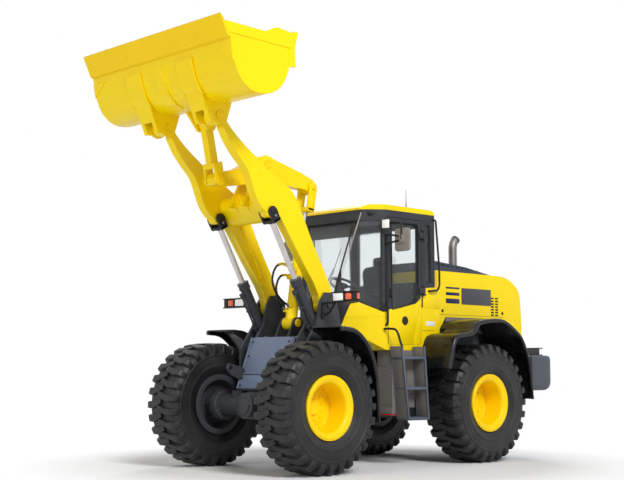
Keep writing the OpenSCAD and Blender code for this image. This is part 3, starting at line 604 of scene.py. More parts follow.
def add_tilt_cylinder():
    at = line_place(TILT_BASE, TILT_WAY, 0.0)
    foot = at(0, 0, 0)
    axis = at(0, 1, 0) - foot
    bm = bmesh.new()
    turned(bm, [(820, 34), (824, 38), (TILT_LEN - 268, 38)], foot, axis, 48)
    keep("tilt_rod_chromed", bm, CHROME, "tilt_rod_body", replaced=["tilt_rod"])
    bm = bmesh.new()
    turned(bm, [(TILT_LEN - 318, 46), (TILT_LEN - 312, 52), (TILT_LEN - 300, 54)], foot, axis)
    plate(bm, box_outline(-55, 55, TILT_LEN - 312, TILT_LEN - 258), at, -112, 112, 10)
    for low, high in ((82, 112), (-112, -82)):
        plate(bm, tongue(118, TILT_LEN - 300, TILT_LEN), at, low, high, 8)
    keep("tilt_fork", bm, YELLOW, "tilt_rod_body")
    bm = bmesh.new()
    for out in (1, -1):
        turned(bm, [(0, 40), (8, 40), (11, 36)], at(0, TILT_LEN, out * 112), (0, out, 0))
        bolt(bm, at(0, TILT_LEN - 75, out * 112), (0, out, 0), 11)
    keep("tilt_fork_pin", bm, YELLOW_CAST, "tilt_rod_body")
    bm = bmesh.new()
    for w in (885, 925):
        ring(bm, [(w, 79), (w, 85), (w + 14, 85), (w + 14, 79)], foot, axis)
    tube(bm, hose_route([at(66, 637, 30), at(180, 668, 30), at(280, 676, 30), at(350, 643, 30)], 16), 17)
    tube(bm, hose_route([at(66, 557, -40), at(140, 572, -40), at(205, 553, -40)], 12), 17)
    plate(bm, box_outline(50, 96, 610, 680), at, 2, 58, 6)
    plate(bm, box_outline(50, 96, 530, 596), at, -68, -12, 6)
    plate(bm, box_outline(48, 98, 126, 174), at, -60, -10, 6)
    plate(bm, box_outline(48, 98, 181, 229), at, 10, 60, 6)
    keep("tilt_barrel_ports", bm, YELLOW, "tilt_barrel_body")


def hose_route(points, count=28, fineness=24):
    """Smooth route through a few points, evenly set out."""
    points = [Vector(q) for q in points]
    fine = []
    ends = [points[0] * 2 - points[1]] + points + [points[-1] * 2 - points[-2]]
    for a, b, c, d in zip(ends, ends[1:], ends[2:], ends[3:]):
        for i in range(fineness):
            t = i / fineness
            fine.append(0.5 * (2 * b + (c - a) * t + (2 * a - 5 * b + 4 * c - d) * t * t
                               + (3 * b - a - 3 * c + d) * t ** 3))
    fine.append(points[-1])
    reach = [0.0]
    for a, b in zip(fine, fine[1:]):
        reach.append(reach[-1] + (b - a).length)
    even = []
    k = 0
    for i in range(count):
        goal = reach[-1] * i / (count - 1)
        while k < len(fine) - 2 and reach[k + 1] < goal:
            k += 1
        span = max(reach[k + 1] - reach[k], 1e-9)
        even.append(fine[k] + (fine[k + 1] - fine[k]) * ((goal - reach[k]) / span))
    return even


# Hose loops beside the tilt cylinder, as (u, w, t) along it
HOSE_R = 13.0
HOSE_LOOPS = (
    ("tilt_hose_outer", [(78, 640, 30), (180, 668, 30), (280, 676, 30), (368, 625, 30), (408, 520, 30),
                         (396, 410, 30), (312, 302, 30), (205, 232, 33), (86, 192, 35)]),
    ("tilt_hose_inner", [(78, 560, -40), (140, 572, -40), (215, 545, -40), (262, 460, -40), (262, 340, -40),
                         (210, 225, -38), (86, 150, -35)]))
HOSE_FITTING = [(-10, 17), (12, 17), (14, 15.5), (52, 15.5), (56, 14)]


def add_tilt_hoses():
    """Two hoses from the tilt cylinder's pipes, hanging in loops back to its lower ports."""
    at = line_place(TILT_BASE, TILT_WAY, 0.0)
    for name, points in HOSE_LOOPS:
        route = [q * MM for q in hose_route([at(*q) for q in points])]
        data = bpy.data.curves.new(name, "CURVE")
        data.dimensions = "3D"
        data.bevel_depth = HOSE_R * MM
        data.bevel_resolution = 4
        data.use_fill_caps = True
        line = data.splines.new("POLY")
        line.points.add(len(route) - 1)
        for point, q in zip(line.points, route):
            point.co = (*q, 1.0)
        data.materials.append(HOSE)
        hose = link(name, data)
        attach(hose, "tilt_barrel_body")
        ends = bmesh.new()
        for a, b in ((0, 2), (-1, -3)):
            turned(ends, HOSE_FITTING, route[a] / MM, route[b] / MM - route[a] / MM, 12)
        fitted = keep(name + "_fittings", ends, STEEL, "tilt_barrel_body")


# Keeper caps on pins: name, body, (x, z), how far out, radius, thickness
PIN_CAPS = (
    ("boom_pin_caps", "front_unit", (820, 1930), 580, 56, 14),
    ("lift_base_caps", "front_unit", LIFT_BASE, 580, 50, 14),
    ("bucket_pin_caps", "bucket_pin_body", (2530, 3960), 588, 52, 12),
    ("crank_pin_caps", "crank_pin_body", (1420, 3600), 140, 58, 12),
    ("link_pin_caps", "link_pin_body", (2120, 3350), 110, 52, 9),
    ("tilt_base_caps", "tilt_pin_body", TILT_BASE, 130, 50, 10))
CAP_BOLT_ANGLES = (0.5, 2.6, 4.7)


def add_pin_caps():
    """Keeper caps on the ends of the pins, each on the body that its pin rides on."""
    for name, body, (x, z), y, radius, thick in PIN_CAPS:
        profile = [(0, radius), (thick - 4, radius), (thick, radius - 5), (thick, radius - 22),
                   (thick - 4, radius - 26)]
        reach = radius - 14
        bm = bmesh.new()
        for side in (1, -1):
            foot = Vector((x, side * (y - 1), z))
            turned(bm, profile, foot, (0, side, 0))
            for a in CAP_BOLT_ANGLES:
                spot = Vector((reach * math.cos(a), side * thick, reach * math.sin(a)))
                bolt(bm, foot + spot, (0, side, 0), 7)
        if body == "front_unit":
            keep(name, bm, GREY, body)
        else:
            keep(name, bm, YELLOW_CAST, body)
    bm = bmesh.new()
    for side in (1, -1):
        ring(bm, [(70, 48), (70, 92), (84, 92), (88, 88), (88, 48)], (1420, 0, 3600), (0, side, 0))
        ring(bm, [(69, 43), (69, 62), (76, 62), (76, 43)], (2120, 0, 3350), (0, side, 0))
    keep("bell_crank_bosses", bm, YELLOW, "crank_body")


NOSE_LOW, NOSE_HIGH = Vector((1450, 0, 930)), Vector((1210, 0, 1550))


def on_nose(u, w, t):
    """Sloped nose plate: u to the left, w up the slope, t off its face."""
    way = (NOSE_HIGH - NOSE_LOW).normalized()
    off = Vector((way.z, 0, -way.x))
    return NOSE_LOW + way * w + off * t + Vector((0, u, 0))


def add_nose_cover():
    bm = bmesh.new()
    cover = [(-352, 190), (352, 190), (352, 640), (300, 664), (-300, 664), (-352, 640)]
    plate(bm, cover, on_nose, -2, 9, 4)
    plate(bm, box_outline(-352, 352, 12, 178), on_nose, -2, 9, 4)
    for u in (-368, 356):
        plate(bm, box_outline(u, u + 12, 4, 660), on_nose, -30, 20, 4)
    keep("nose_cover", bm, GREY_BLUE, "front_unit")
    bm = bmesh.new()
    off = on_nose(0, 0, 1) - on_nose(0, 0, 0)
    for u in (-320, 320):
        for w in (45, 140, 225, 420, 600):
            bolt(bm, on_nose(u, w, 9), off, 12)
    keep("nose_cover_bolts", bm, BLACK, "front_unit")
    bm = bmesh.new()
    for y in (-118, 86):
        tube(bm, bent([(1010, y, 1436), (1040, y, 1560), (1000, y, 1650), (930, y * 1.25, 1690)], 50), 14)
    pipe = [(1120, 250, 1436), (1125, 250, 1520), (1080, 300, 1560), (980, 338, 1560)]
    for side in (1, -1):
        side_tube(bm, side, pipe, 40, 12)
    keep("tower_pipes", bm, GREY_BLUE, "front_unit")


# Cross tube of the boom and the lower member welded below it, as (x, z)
CROSS_HIGH, CROSS_LOW = (1595, 3110), (1490, 3000)
CROSS_R = 113
CROSS_SIDES = 48
BOOM_RINGS = (
    (CROSS_HIGH, [(398, 108), (398, 126), (402, 123), (412, 115), (412, 108)]),
    (CROSS_HIGH, [(86, 108), (86, 119), (94, 121), (96, 108)]),
    ((2530, 3960), [(527, 60), (527, 96), (534, 96), (537, 92), (537, 60)]),
    ((820, 1930), [(528, 58), (528, 112), (540, 112), (543, 108), (543, 58)]))


def add_boom_welds():
    bm = bmesh.new()
    for side in (1, -1):
        for (x, z), profile in BOOM_RINGS:
            ring(bm, profile, (x, 0, z), (0, side, 0), 64)
    start = math.atan2(CROSS_LOW[1] - CROSS_HIGH[1], CROSS_LOW[0] - CROSS_HIGH[0]) + math.pi / 2
    half = CROSS_SIDES // 2
    outline = []
    for (x, z), steps in ((CROSS_HIGH, range(half + 1)), (CROSS_LOW, range(half, CROSS_SIDES))):
        for i in steps:
            a = start + 2 * math.pi * i / CROSS_SIDES
            outline.append((x + CROSS_R * math.cos(a), z + CROSS_R * math.sin(a)))
    plate(bm, outline, from_side, -413, 413)
    keep("boom_welds", bm, YELLOW, "boom")
    bm = bmesh.new()
    for side in (1, -1):
        for x, z in ((1310, 2960), (1560, 3290), (1880, 3380), (1120, 2560)):
            bolt(bm, Vector((x, side * 529, z)), (0, side, 0), 9)
    keep("boom_studs", bm, YELLOW_CAST, "boom")
    bm = bmesh.new()
    pipe = [(985, 398, 2190), (1180, 398, 2560), (1400, 398, 2950), (1520, 380, 3060)]
    for side in (1, -1):
        side_tube(bm, side, pipe, 60, 11)
        for x, z in ((1040, 2293), (1200, 2598), (1370, 2897)):
            side_block(bm, side, (x - 22, x + 22), (386, 412), (z - 16, z + 16), 5)
    keep("boom_grease_pipes", bm, YELLOW_CAST, "boom")


def add_bucket_bolts():
    bm = bmesh.new()
    low, high = Vector((2994, 0, 4620)), Vector((3105, 0, 4855))
    way = (high - low).normalized()
    off = Vector((way.z, 0, -way.x))
    for y in range(-1120, 1121, 320):
        at = low + (high - low) * 0.42 + Vector((0, y, 0))
        turned(bm, [(-2, 19), (3, 19), (5, 15), (2, 10)], at, off, 24)
    keep("edge_bolts", bm, YELLOW_CAST, "bucket_body")
    bm = bmesh.new()
    for side in (1, -1):
        for y in (ARM_Y - 137, ARM_Y + 137):
            points = [(2958, 4527), (2924, 4370), (2856, 4216), (2790, 4150)]
            tube(bm, [(x, side * y, z) for x, z in points], 8, 8)
    tube(bm, [(2981, -1262, 4618), (2981, 1262, 4618)], 8, 8)
    keep("bucket_weld_beads", bm, YELLOW, "bucket_body")


def side_blocks(bm, side, rows):
    """Blocks on one side, each row its reach in x, y and z and how far its edges are eased."""
    for x, y, z, ease in rows:
        side_block(bm, side, x, y, z, ease)


HEAD_HOUSING = (
    ((925, 985), (778, 1182), (1952, 2052), 14), ((915, 1002), (770, 1190), (1938, 1953), 5),
    ((915, 1002), (770, 1190), (2050, 2062), 5), ((950, 994), (964, 988), (1952, 2052), 4),
    ((950, 992), (1106, 1180), (1952, 2052), 8), ((930, 970), (581, 790), (1928, 1952), 4),
    ((928, 972), (581, 612), (1760, 1948), 5))


def add_head_lamp(side, hand):
    bm = bmesh.new()
    side_blocks(bm, side, HEAD_HOUSING)
    side_tube(bm, side, [(950, 600, 1800), (950, 690, 1820), (950, 800, 1945)], 40, 14)
    keep("lamp_housing_" + hand, bm, BLACK, "front_unit", replaced=once(side, "head_lamps"))
    bm = bmesh.new()
    side_block(bm, side, (970, 998), (800, 960), (1958, 2046), 12)
    keep("head_lens_" + hand, bm, CLEAR_LENS, "front_unit")
    bm = bmesh.new()
    side_block(bm, side, (972, 999), (1000, 1092), (1964, 2040), 12)
    side_block(bm, side, (940, 980), (1150, 1184), (1966, 2038), 8)
    keep("turn_lens_" + hand, bm, AMBER_LENS, "front_unit")


# Printed bars on the hood: reach in x and z
HOOD_BARS = (((-1526, -1253), (2212, 2234)), ((-1525, -1253), (2126, 2165)), ((-1524, -1253), (2021, 2083)))


def add_hood_side(side, hand):
    bm = bmesh.new()
    for x, z in HOOD_BARS:
        side_block(bm, side, x, (619, 624), z, 1.5)
    keep("hood_bars_" + hand, bm, NAVY)
    bm = bmesh.new()
    side_block(bm, side, (-2190, -1569), (619, 625), (2015, 2231), 2)
    keep("hood_blank_plate_" + hand, bm, PLATE)
    bm = bmesh.new()
    side_block(bm, side, (-1066, -1062), (618, 621), (1880, 2420))
    side_block(bm, side, (-2456, -1066), (618, 621), (1868, 1872))
    for i in range(7):
        for x in (-2226, -2320):
            side_block(bm, side, (x - 34, x + 34), (600, 612), (1881 + 38 * i, 1901 + 38 * i))
    keep("hood_seams_" + hand, bm, SEAL, slot="black_paint")
    bm = bmesh.new()
    for x, z in ((-1180, 1920), (-2440, 1920)):
        turned(bm, [(0, 22), (4, 22), (6, 18)], Vector((x, side * 619, z)), (0, side, 0))
        side_block(bm, side, (x - 15, x + 15), (624, 632), (z - 4, z + 4), 2)
    keep("hood_latches_" + hand, bm, BLACK)


# Ladder: its reach outward, its height, and x at the top and foot of its front and rear legs
STEP_IN, STEP_OUT = 756.0, 950.0
LADDER_TOP, LADDER_FOOT = 1446, 560
LADDER_LEGS = ((-25, -140), (-432, -500))
# Treads: front, rear, height
TREADS = ((-40, -455, 1300), (-95, -490, 930), (-140, -525, 562))
FRONT_GRAB = [(32, 716, 1656), (20, 800, 1658), (2, 880, 1650), (-14, 905, 1593), (-30, 932, 1480),
              (-42, 943, 1440)]
REAR_GRAB = [(-888, 716, 3070), (-894, 764, 3060), (-955, 764, 2450), (-958, 764, 2230), (-925, 764, 2166),
             (-800, 764, 2150), (-786, 716, 2150)]
PILLAR_GRAB = [(2, 712, 2760), (14, 762, 2740), (14, 762, 1720), (2, 712, 1700)]


def ladder_leg(top, foot, near, far):
    return [(top - near, LADDER_TOP), (top - far, LADDER_TOP),
            (foot - far, LADDER_FOOT), (foot - near, LADDER_FOOT)]


def add_ladder(side, hand):
    bm = bmesh.new()
    for top, foot in LADDER_LEGS:
        for y in ((STEP_OUT - 14, STEP_OUT), (STEP_IN, STEP_IN + 12)):
            side_plate(bm, side, ladder_leg(top, foot, 0, 30), y, 3)
    keep("ladder_rails_" + hand, bm, LADDER_GREY, replaced=once(side, "steps_and_rails"))
    bm = bmesh.new()
    for top, foot in LADDER_LEGS:
        side_plate(bm, side, ladder_leg(top, foot, 6, 14), (STEP_IN + 4, STEP_OUT - 6), 1)
    keep("ladder_webs_" + hand, bm, TANK_GREY, slot="black_paint")
    bm = bmesh.new()
    for front, rear, z in TREADS:
        side_block(bm, side, (rear, front), (STEP_IN + 2, STEP_OUT - 2), (z, z + 20), 4)
        for i in range(6):
            y = STEP_IN + 12 + 31 * i
            for k in range(9):
                x = rear + 20 + (front - rear - 40) * k / 9
                side_block(bm, side, (x, x + 28), (y, y + 8), (z + 18, z + 27), 2, 1)
        side_block(bm, side, (rear, front), (STEP_OUT - 8, STEP_OUT - 1), (z - 10, z + 24), 2)
    keep("ladder_treads_" + hand, bm, LADDER_GREY)
    bm = bmesh.new()
    side_tube(bm, side, FRONT_GRAB, 40, 14)
    side_tube(bm, side, REAR_GRAB, 55, 13)
    side_tube(bm, side, PILLAR_GRAB, 40, 14)
    keep("grab_rails_" + hand, bm, BLACK)


MIRROR_OUTLINE = [(908, 2590), (1092, 2590), (1120, 2618), (1120, 2842), (1092, 2870), (908, 2870),
                  (880, 2842), (880, 2618)]
MIRROR_ARMS = ([(-6, 716, 2930), (10, 800, 2950), (18, 1000, 2945), (26, 1000, 2740)],
               [(4, 712, 2800), (22, 800, 2808), (28, 970, 2770)],
               [(4, 712, 2700), (22, 800, 2700), (28, 970, 2725)])
AERIAL = [(0, 16), (30, 16), (40, 8), (60, 6), (130, 3.5), (262, 2.5)]


def add_mirror(side, hand):
    bm = bmesh.new()
    plate(bm, [(side * y, z) for y, z in MIRROR_OUTLINE], from_front, -18, 15, 9, 3)
    side_block(bm, side, (10, 34), (955, 1045), (2690, 2790), 10)
    keep("mirror_shell_" + hand, bm, MIRROR_GREY, replaced=once(side, "cab_fittings"))
    bm = bmesh.new()
    plate(bm, [(side * y, z) for y, z in box_outline(904, 1096, 2612, 2848)], from_front, -20.5, -16, 1)
    keep("mirror_glass_" + hand, bm, SILVER)
    bm = bmesh.new()
    for points in MIRROR_ARMS:
        side_tube(bm, side, points, 50, 12)
    for z in (2700, 2800, 2930):
        side_block(bm, side, (-16, 16), (715, 735), (z - 26, z + 26), 5)
    side_tube(bm, side, [(10, 714, 2985), (40, 770, 2990), (66, 802, 2975)], 30, 11)
    turned(bm, [(0, 30), (18, 52), (40, 56), (46, 56)], Vector((38, side * 802, 2932)), (1, 0, 0), 32)
    keep("mirror_arms_" + hand, bm, BLACK, slot="black_plastic")
    bm = bmesh.new()
    side_block(bm, side, (74, 100), (748, 856), (2880, 2985), 10)
    keep("work_lens_" + hand, bm, CLEAR_LENS)
    if side > 0:
        bm = bmesh.new()
        turned(bm, AERIAL, Vector((-626, 500, 3190)), (0, 0, 1), 12)
        keep("aerial", bm, BLACK, slot="black_plastic")


def add_side_tank(side, hand):
    bm = bmesh.new()
    for x, z in (((-452, -76), (1180, 1183)), ((-452, -76), (860, 863)), ((-330, -327), (863, 1180))):
        side_block(bm, side, x, (754, 757.5), z)
    for x, z in ((-120, 1100), (-120, 940)):
        turned(bm, [(0, 20), (6, 20), (8, 15)], Vector((x, side * 754, z)), (0, side, 0), 20)
    keep("side_tank_seams_" + hand, bm, SEAL, slot="black_paint")
    bm = bmesh.new()
    side_block(bm, side, (-60, -54), (534, 748), (612, 628), 2)
    side_block(bm, side, (-162, -56), (748, 757), (612, 628), 2)
    keep("side_tank_red_strip_" + hand, bm, RED_LENS)
    bm = bmesh.new()
    sump = [(-58, 702), (-58, 608), (-290, 608), (-312, 632), (-312, 702)]
    side_plate(bm, side, sump, (530, 752), 5)
    for z in (742, 1207):
        side_block(bm, side, (-60.5, -57), (530, 752), (z, z + 14), 1.5)
    for z in (1150, 1090):
        side_block(bm, side, (-60.5, -55), (616, 664), (z, z + 22), 3)
    keep("side_tank_sump_" + hand, bm, TANK_GREY)


DIFF_COVER = [(0, 146), (6, 146), (10, 140), (10, 96), (22, 90), (26, 60)]
AXLE_RINGS = ([(160, 118), (160, 158), (168, 158), (172, 150), (172, 118)],
              [(588, 118), (588, 178), (600, 186), (604, 186), (604, 118)])


def add_axle_details():
    for x, body, end in ((AXLE_X, "front_unit", "front"), (-AXLE_X, "rear_unit", "rear")):
        bm = bmesh.new()
        for face in (1, -1):
            foot = Vector((x + face * 229, 0, AXLE_Z))
            turned(bm, DIFF_COVER, foot, (face, 0, 0), 48)
            for a in around(10):
                bolt(bm, foot + Vector((face * 9, 118 * math.cos(a), 118 * math.sin(a))), (face, 0, 0), 11)
        for side in (1, -1):
            for profile in AXLE_RINGS:
                ring(bm, profile, (x, 0, AXLE_Z), (0, side, 0))
            for a in around(12):
                spot = Vector((x + 154 * math.cos(a), side * 589, AXLE_Z + 154 * math.sin(a)))
                bolt(bm, spot, (0, -side, 0), 12)
        keep("axle_covers_" + end, bm, GREY, body)


def eased(points, share):
    """Row of points with its corners cut twice, ends kept."""
    for keep_share in (share, 0.25):
        cut = [points[0]]
        for (x0, z0), (x1, z1) in zip(points, points[1:]):
            for t in (keep_share, 1 - keep_share):
                cut.append((x0 + (x1 - x0) * t, z0 + (z1 - z0) * t))
        points = cut + [points[-1]]
    return points


def drawn_in(points, by):
    """Convex outline moved in by a distance."""
    moved = []
    for i, here in enumerate(points):
        here = Vector(here)
        a = (here - Vector(points[i - 1])).normalized()
        b = (Vector(points[(i + 1) % len(points)]) - here).normalized()
        na = Vector((-a.y, a.x))
        nb = Vector((-b.y, b.x))
        moved.append(here + (na + nb) * (by / (1 + na.dot(nb))))
    return moved


def casting(bm, plan, levels):
    """Solid block over a plan outline; each level is a height and how far it draws in."""
    skin(bm, [[bm.verts.new((q.x, q.y, z)) for q in drawn_in(plan, by)] for z, by in levels])


# Counterweight: half of its plan, its levels, and the lower cheek beside the tow jaw
WEIGHT_HALF = [(-2388, 1140), (-2834, 1140), (-3060, 900), (-3105, 780), (-3105, 0)]
WEIGHT_LEVELS = [(884, 90), (892, 62), (912, 34), (942, 13), (984, 2), (1012, 0), (1290, 0), (1320, 6),
                 (1340, 20), (1349, 42)]
CHEEK = [(-2388, 560), (-2960, 560), (-3040, 480), (-3060, 420), (-3060, 100), (-2890, 100), (-2388, 100)]
CHEEK_LEVELS = [(662, 40), (680, 16), (712, 0), (920, 0)]


def add_counterweight():
    half = eased(WEIGHT_HALF, 0.2)[:-1]
    bm = bmesh.new()
    casting(bm, half + [(x, -y) for x, y in reversed(half)], WEIGHT_LEVELS)
    for side in (1, -1):
        cheek = [(x, side * y) for x, y in CHEEK]
        casting(bm, cheek if side > 0 else cheek[::-1], CHEEK_LEVELS)
    block(bm, (-3060, -110, 664), (-2600, 110, 800), 16)
    ring(bm, [(0, 40), (0, 58), (10, 58), (14, 52), (14, 40)], (-3020, 0, 1344), (0, 0, 1), 40)
    keep("counterweight_cast", bm, IRON, replaced=["counterweight"], crease=25.0)


# Fender routes in x and z, and the rolled outer edge as (y, depth)
REAR_FENDER = [(-590, 1180), (-705, 1600), (-1080, 1632), (-1188, 1785), (-1709, 1829), (-2094, 1615),
               (-2260, 1288), (-2319, 779)]
FRONT_FENDER = [(1240, 1655), (1020, 1640), (850, 1520), (740, 1380), (660, 1150), (640, 900), (635, 562)]
FENDER_EDGE = [(1168, 0), (1190, 0), (1205, 5), (1216, 16), (1220, 30), (1217, 45), (1207, 56), (1194, 60),
               (1182, 57), (1175, 46), (1172, 30), (1168, 14)]


def sweep(bm, route, section, side):
    """Fender skin: a (y, depth) section carried along a route in x and z, thinner toward its end."""
    rows = []
    last = len(route) - 1
    for i, (x, z) in enumerate(route):
        x0, z0 = route[max(i - 1, 0)]
        x1, z1 = route[min(i + 1, last)]
        way = Vector((x1 - x0, z1 - z0)).normalized()
        thin = min(1.0, 1.55 - 1.1 * i / last)
        dx, dz = -way.y * thin, way.x * thin
        rows.append([bm.verts.new((x + dx * d, side * y, z + dz * d)) for y, d in section])
    skin(bm, rows)


def add_fenders(side, hand):
    bm = bmesh.new()
    route = eased(REAR_FENDER, 0.18)
    sweep(bm, route, [(727, 14), (727, 0)] + FENDER_EDGE, side)
    sweep(bm, [q for q in route if q[0] < -1110], [(622, 14), (622, 1), (730, 1), (730, 14)], side)
    for x, z in ((-2180, 1440), (-1400, 1790)):
        side_tube(bm, side, [(x, 640, z - 40), (x, 900, z - 40), (x - 10, 1190, z - 30)], 60, 16)
    keep("rear_fender_" + hand, bm, PLASTIC, replaced=once(side, "rear_fenders"))
    bm = bmesh.new()
    route = eased(FRONT_FENDER, 0.25)
    sweep(bm, route, [(702, 14), (702, 0)] + FENDER_EDGE, side)
    side_plate(bm, side, [q for q in route if q[0] > 745] + [(760, 1372), (1236, 1612)], (702, 714))
    side_block(bm, side, (670, 800), (581, 716), (1180, 1240), 8)
    side_block(bm, side, (930, 970), (581, 716), (1480, 1590), 8)
    keep("front_fender_" + hand, bm, PLASTIC, "front_unit", replaced=once(side, "front_fenders"))


def on_corner(side):
    """Slanted front corner of the cab: s back from the front, z up, t off its face."""
    return lambda s, z, t: Vector((450 - s * 0.7498 + t * 0.6616, side * (330 + s * 0.6616 + t * 0.7498), z))


CORNER_SKIN = [(58, 1800), (538, 1800), (538, 1870), (491, 1893), (262, 1982), (156, 1964), (90, 1806)]
CORNER_COVER = [(4, 1700), (50, 1706), (152, 1966), (152, 2006), (4, 2006)]
CORNER_BEAD = ((152, 1972), (262, 1990), (491, 1901), (536, 1879))


def add_cab_corner(side, hand):
    at = on_corner(side)
    bm = bmesh.new()
    plate(bm, CORNER_SKIN, at, -14, 3, 2)
    side_plate(bm, side, [(-684, 1936), (-986, 1936), (-986, 2208), (-684, 2184)], (714, 723), 2)
    side_block(bm, side, (-1014, -905), (560, 714), (1460, 1942), 4)
    side_block(bm, side, (-1014, -974), (560, 714), (1938, 2206), 4)
    keep("cab_corner_skin_" + hand, bm, YELLOW)
    bm = bmesh.new()
    side_plate(bm, side, box_outline(-740, -915, 1712, 1770), (719, 722), 1)
    keep("blank_sign_" + hand, bm, WHITE_FILM)
    bm = bmesh.new()
    plate(bm, CORNER_COVER, at, -8, 4, 2)
    tube(bm, [at(s, z, 2) for s, z in CORNER_BEAD], 8, 8)
    tube(bm, [at(536, z, 1) for z in (1880, 2400, 2985)], 9, 8)
    plate(bm, [(541, 1868), (589, 1864), (589, 1990), (541, 1990)], at, -6, 3.5, 2)
    side_block(bm, side, (-28, 7), (714, 723), (1864, 1990), 2)
    if side > 0:
        block(bm, (446, -330, 1705), (455, 330, 2004), 4)
    keep("cab_front_cover_" + hand, bm, BLACK)


def add_rear_lamp(side, hand):
    bm = bmesh.new()
    side_block(bm, side, (-2898, -2862), (466, 604), (1496, 1644), 10)
    side_block(bm, side, (-2904, -2890), (530, 540), (1500, 1640), 2)
    keep("rear_lamp_housing_" + hand, bm, BLACK, replaced=once(side, "rear_lamps"))
    lenses = (("tail_lens_", (474, 528), RED_LENS), ("rear_turn_lens_", (542, 596), AMBER_LENS))
    for name, y, finish in lenses:
        bm = bmesh.new()
        side_block(bm, side, (-2905, -2880), y, (1506, 1634), 8)
        keep(name + hand, bm, finish)


def windscreen_x(z):
    """Front face of the cab at a height."""
    return 450.0 if z < 2150 else 450.0 - (z - 2150) * 225 / 950


def on_windscreen(y, z, off):
    return windscreen_x(z) + off, y, z


WINDSCREEN = [(-270, 2010), (-430, 2990), (430, 2990), (270, 2010)]
EDGE_STEPS = 10


def add_cab_trim():
    bm = bmesh.new()
    route = []
    for (y0, z0), (y1, z1) in zip(WINDSCREEN, WINDSCREEN[1:] + WINDSCREEN[:1]):
        for i in range(EDGE_STEPS):
            t = i / EDGE_STEPS
            route.append(on_windscreen(y0 + (y1 - y0) * t, z0 + (z1 - z0) * t, 1))
    tube(bm, route + route[:1], 10, 8)
    keep("windscreen_seal", bm, SEAL)
    bm = bmesh.new()
    for side in (1, -1):
        edge = [(side * (330 + (450 - windscreen_x(z)) * 390 / 442), z) for z in (2620, 2800, 3085)]
        tube(bm, [on_windscreen(y, z, 1) for y, z in edge], 8, 8)
    keep("corner_glass_strips", bm, STEEL)
    bm = bmesh.new()
    visor = [(windscreen_x(z) - back, z) for z, back in ((2800, 62), (2800, 78), (3100, 78), (3100, 62))]
    plate(bm, visor, from_side, -430, 430, 6)
    block(bm, (-820, -640, 3062), (180, 640, 3112), 14)
    plate(bm, [(-850, 1960), (-850, 2270), (-820, 2270), (-820, 1960)], from_side, -640, 640, 6)
    keep("roof_lining", bm, TRIM)
    bm = bmesh.new()
    tube(bm, [on_windscreen(40, 2040, 14), on_windscreen(150, 2196, 26), on_windscreen(225, 2400, 18)], 7, 8)
    tube(bm, [on_windscreen(190, 2220, 14), on_windscreen(290, 2640, 14)], 6, 8)
    turned(bm, [(0, 26), (24, 26), (30, 18)], on_windscreen(40, 2040, -4), (1, 0, 0), 20)
    keep("wiper", bm, STEEL)
    bm = bmesh.new()
    for side in (1, -1):
        side_plate(bm, side, box_outline(-668, -900, 1650, 1654), (719, 721.5))
    keep("cab_base_seams", bm, SEAL)
    bm = bmesh.new()
    plate(bm, [(-492, 1472), (-658, 1472), (-658, 2096)], from_side, 690, 719.5, 3)
    keep("sill_corner_panel", bm, YELLOW)
    bm = bmesh.new()
    tube(bm, [(-905, -600, 3196), (-905, 600, 3196)], 9, 8)
    for y in (-640, 640):
        block(bm, (-925, y - 40, 3150), (-880, y + 40, 3186), 8)
    keep("roof_rear_rail", bm, BLACK)


DOOR_SKIN = [(-39, 1472), (-39, 1892), (-548, 1990), (-632, 2044), (-649, 2100), (-481, 1472)]
DOOR_WINDOW = [(-110, 1898), (-100, 2985), (-600, 2985), (-600, 2230), (-566, 2010), (-540, 1992)]


def add_door_trim():
    bm = bmesh.new()
    plate(bm, DOOR_SKIN, from_side, 688, 724, 4)
    keep("door_lower_skin", bm, YELLOW, "door")
    bm = bmesh.new()
    tube(bm, bent([(x, 721, z) for x, z in DOOR_WINDOW + DOOR_WINDOW[:1]], 40), 9, 8)
    keep("door_window_seal", bm, SEAL, "door")
    bm = bmesh.new()
    block(bm, (-96, 719, 2040), (-52, 729, 2160), 6)
    tube(bm, bent([(-74, 727, 2142), (-74, 752, 2138), (-74, 752, 2060), (-74, 727, 2056)], 18), 9)
    lock = [(0, 54), (8, 54), (13, 48), (10, 36), (10, 12), (16, 10)]
    turned(bm, lock, (-338, 723, 1766), (0, 1, 0))
    keep("door_handle", bm, BLACK, "door", slot="black_plastic")


CUSHION_ROWS, CUSHION_COLUMNS = 28, 48
CROWN_POWER = 0.6
CHANNEL_DEPTH, CHANNEL_WIDTH = 0.10, 0.22


def swell(c, power):
    return math.copysign(abs(c) ** power, c)


def cushion(name, centre, size, lean, power, channels=0, replaced=()):
    """Crowned closed form: a rounded block whose sides pull in, with sewn channels across it."""
    bm = bmesh.new()
    turn = Matrix.Rotation(math.radians(lean), 3, "Y")
    rows = []
    for i in range(1, CUSHION_ROWS):
        a = -math.pi / 2 + math.pi * i / CUSHION_ROWS
        row = []
        for b in around(CUSHION_COLUMNS):
            q = Vector((swell(math.cos(a), power) * swell(math.cos(b), power) * size[0] / 2,
                        swell(math.cos(a), power) * swell(math.sin(b), power) * size[1] / 2,
                        swell(math.sin(a), CROWN_POWER) * size[2] / 2))
            if channels:
                seam = math.sin(math.pi * (q.x / size[0] + 0.5) * channels)
                q.z *= 1 - CHANNEL_DEPTH * math.exp(-(seam / CHANNEL_WIDTH) ** 2)
            row.append(bm.verts.new(Vector(centre) + turn @ q))
        rows.append(row)
    skin(bm, rows)
    made = keep(name, bm, CLOTH, replaced=replaced, crease=60.0)


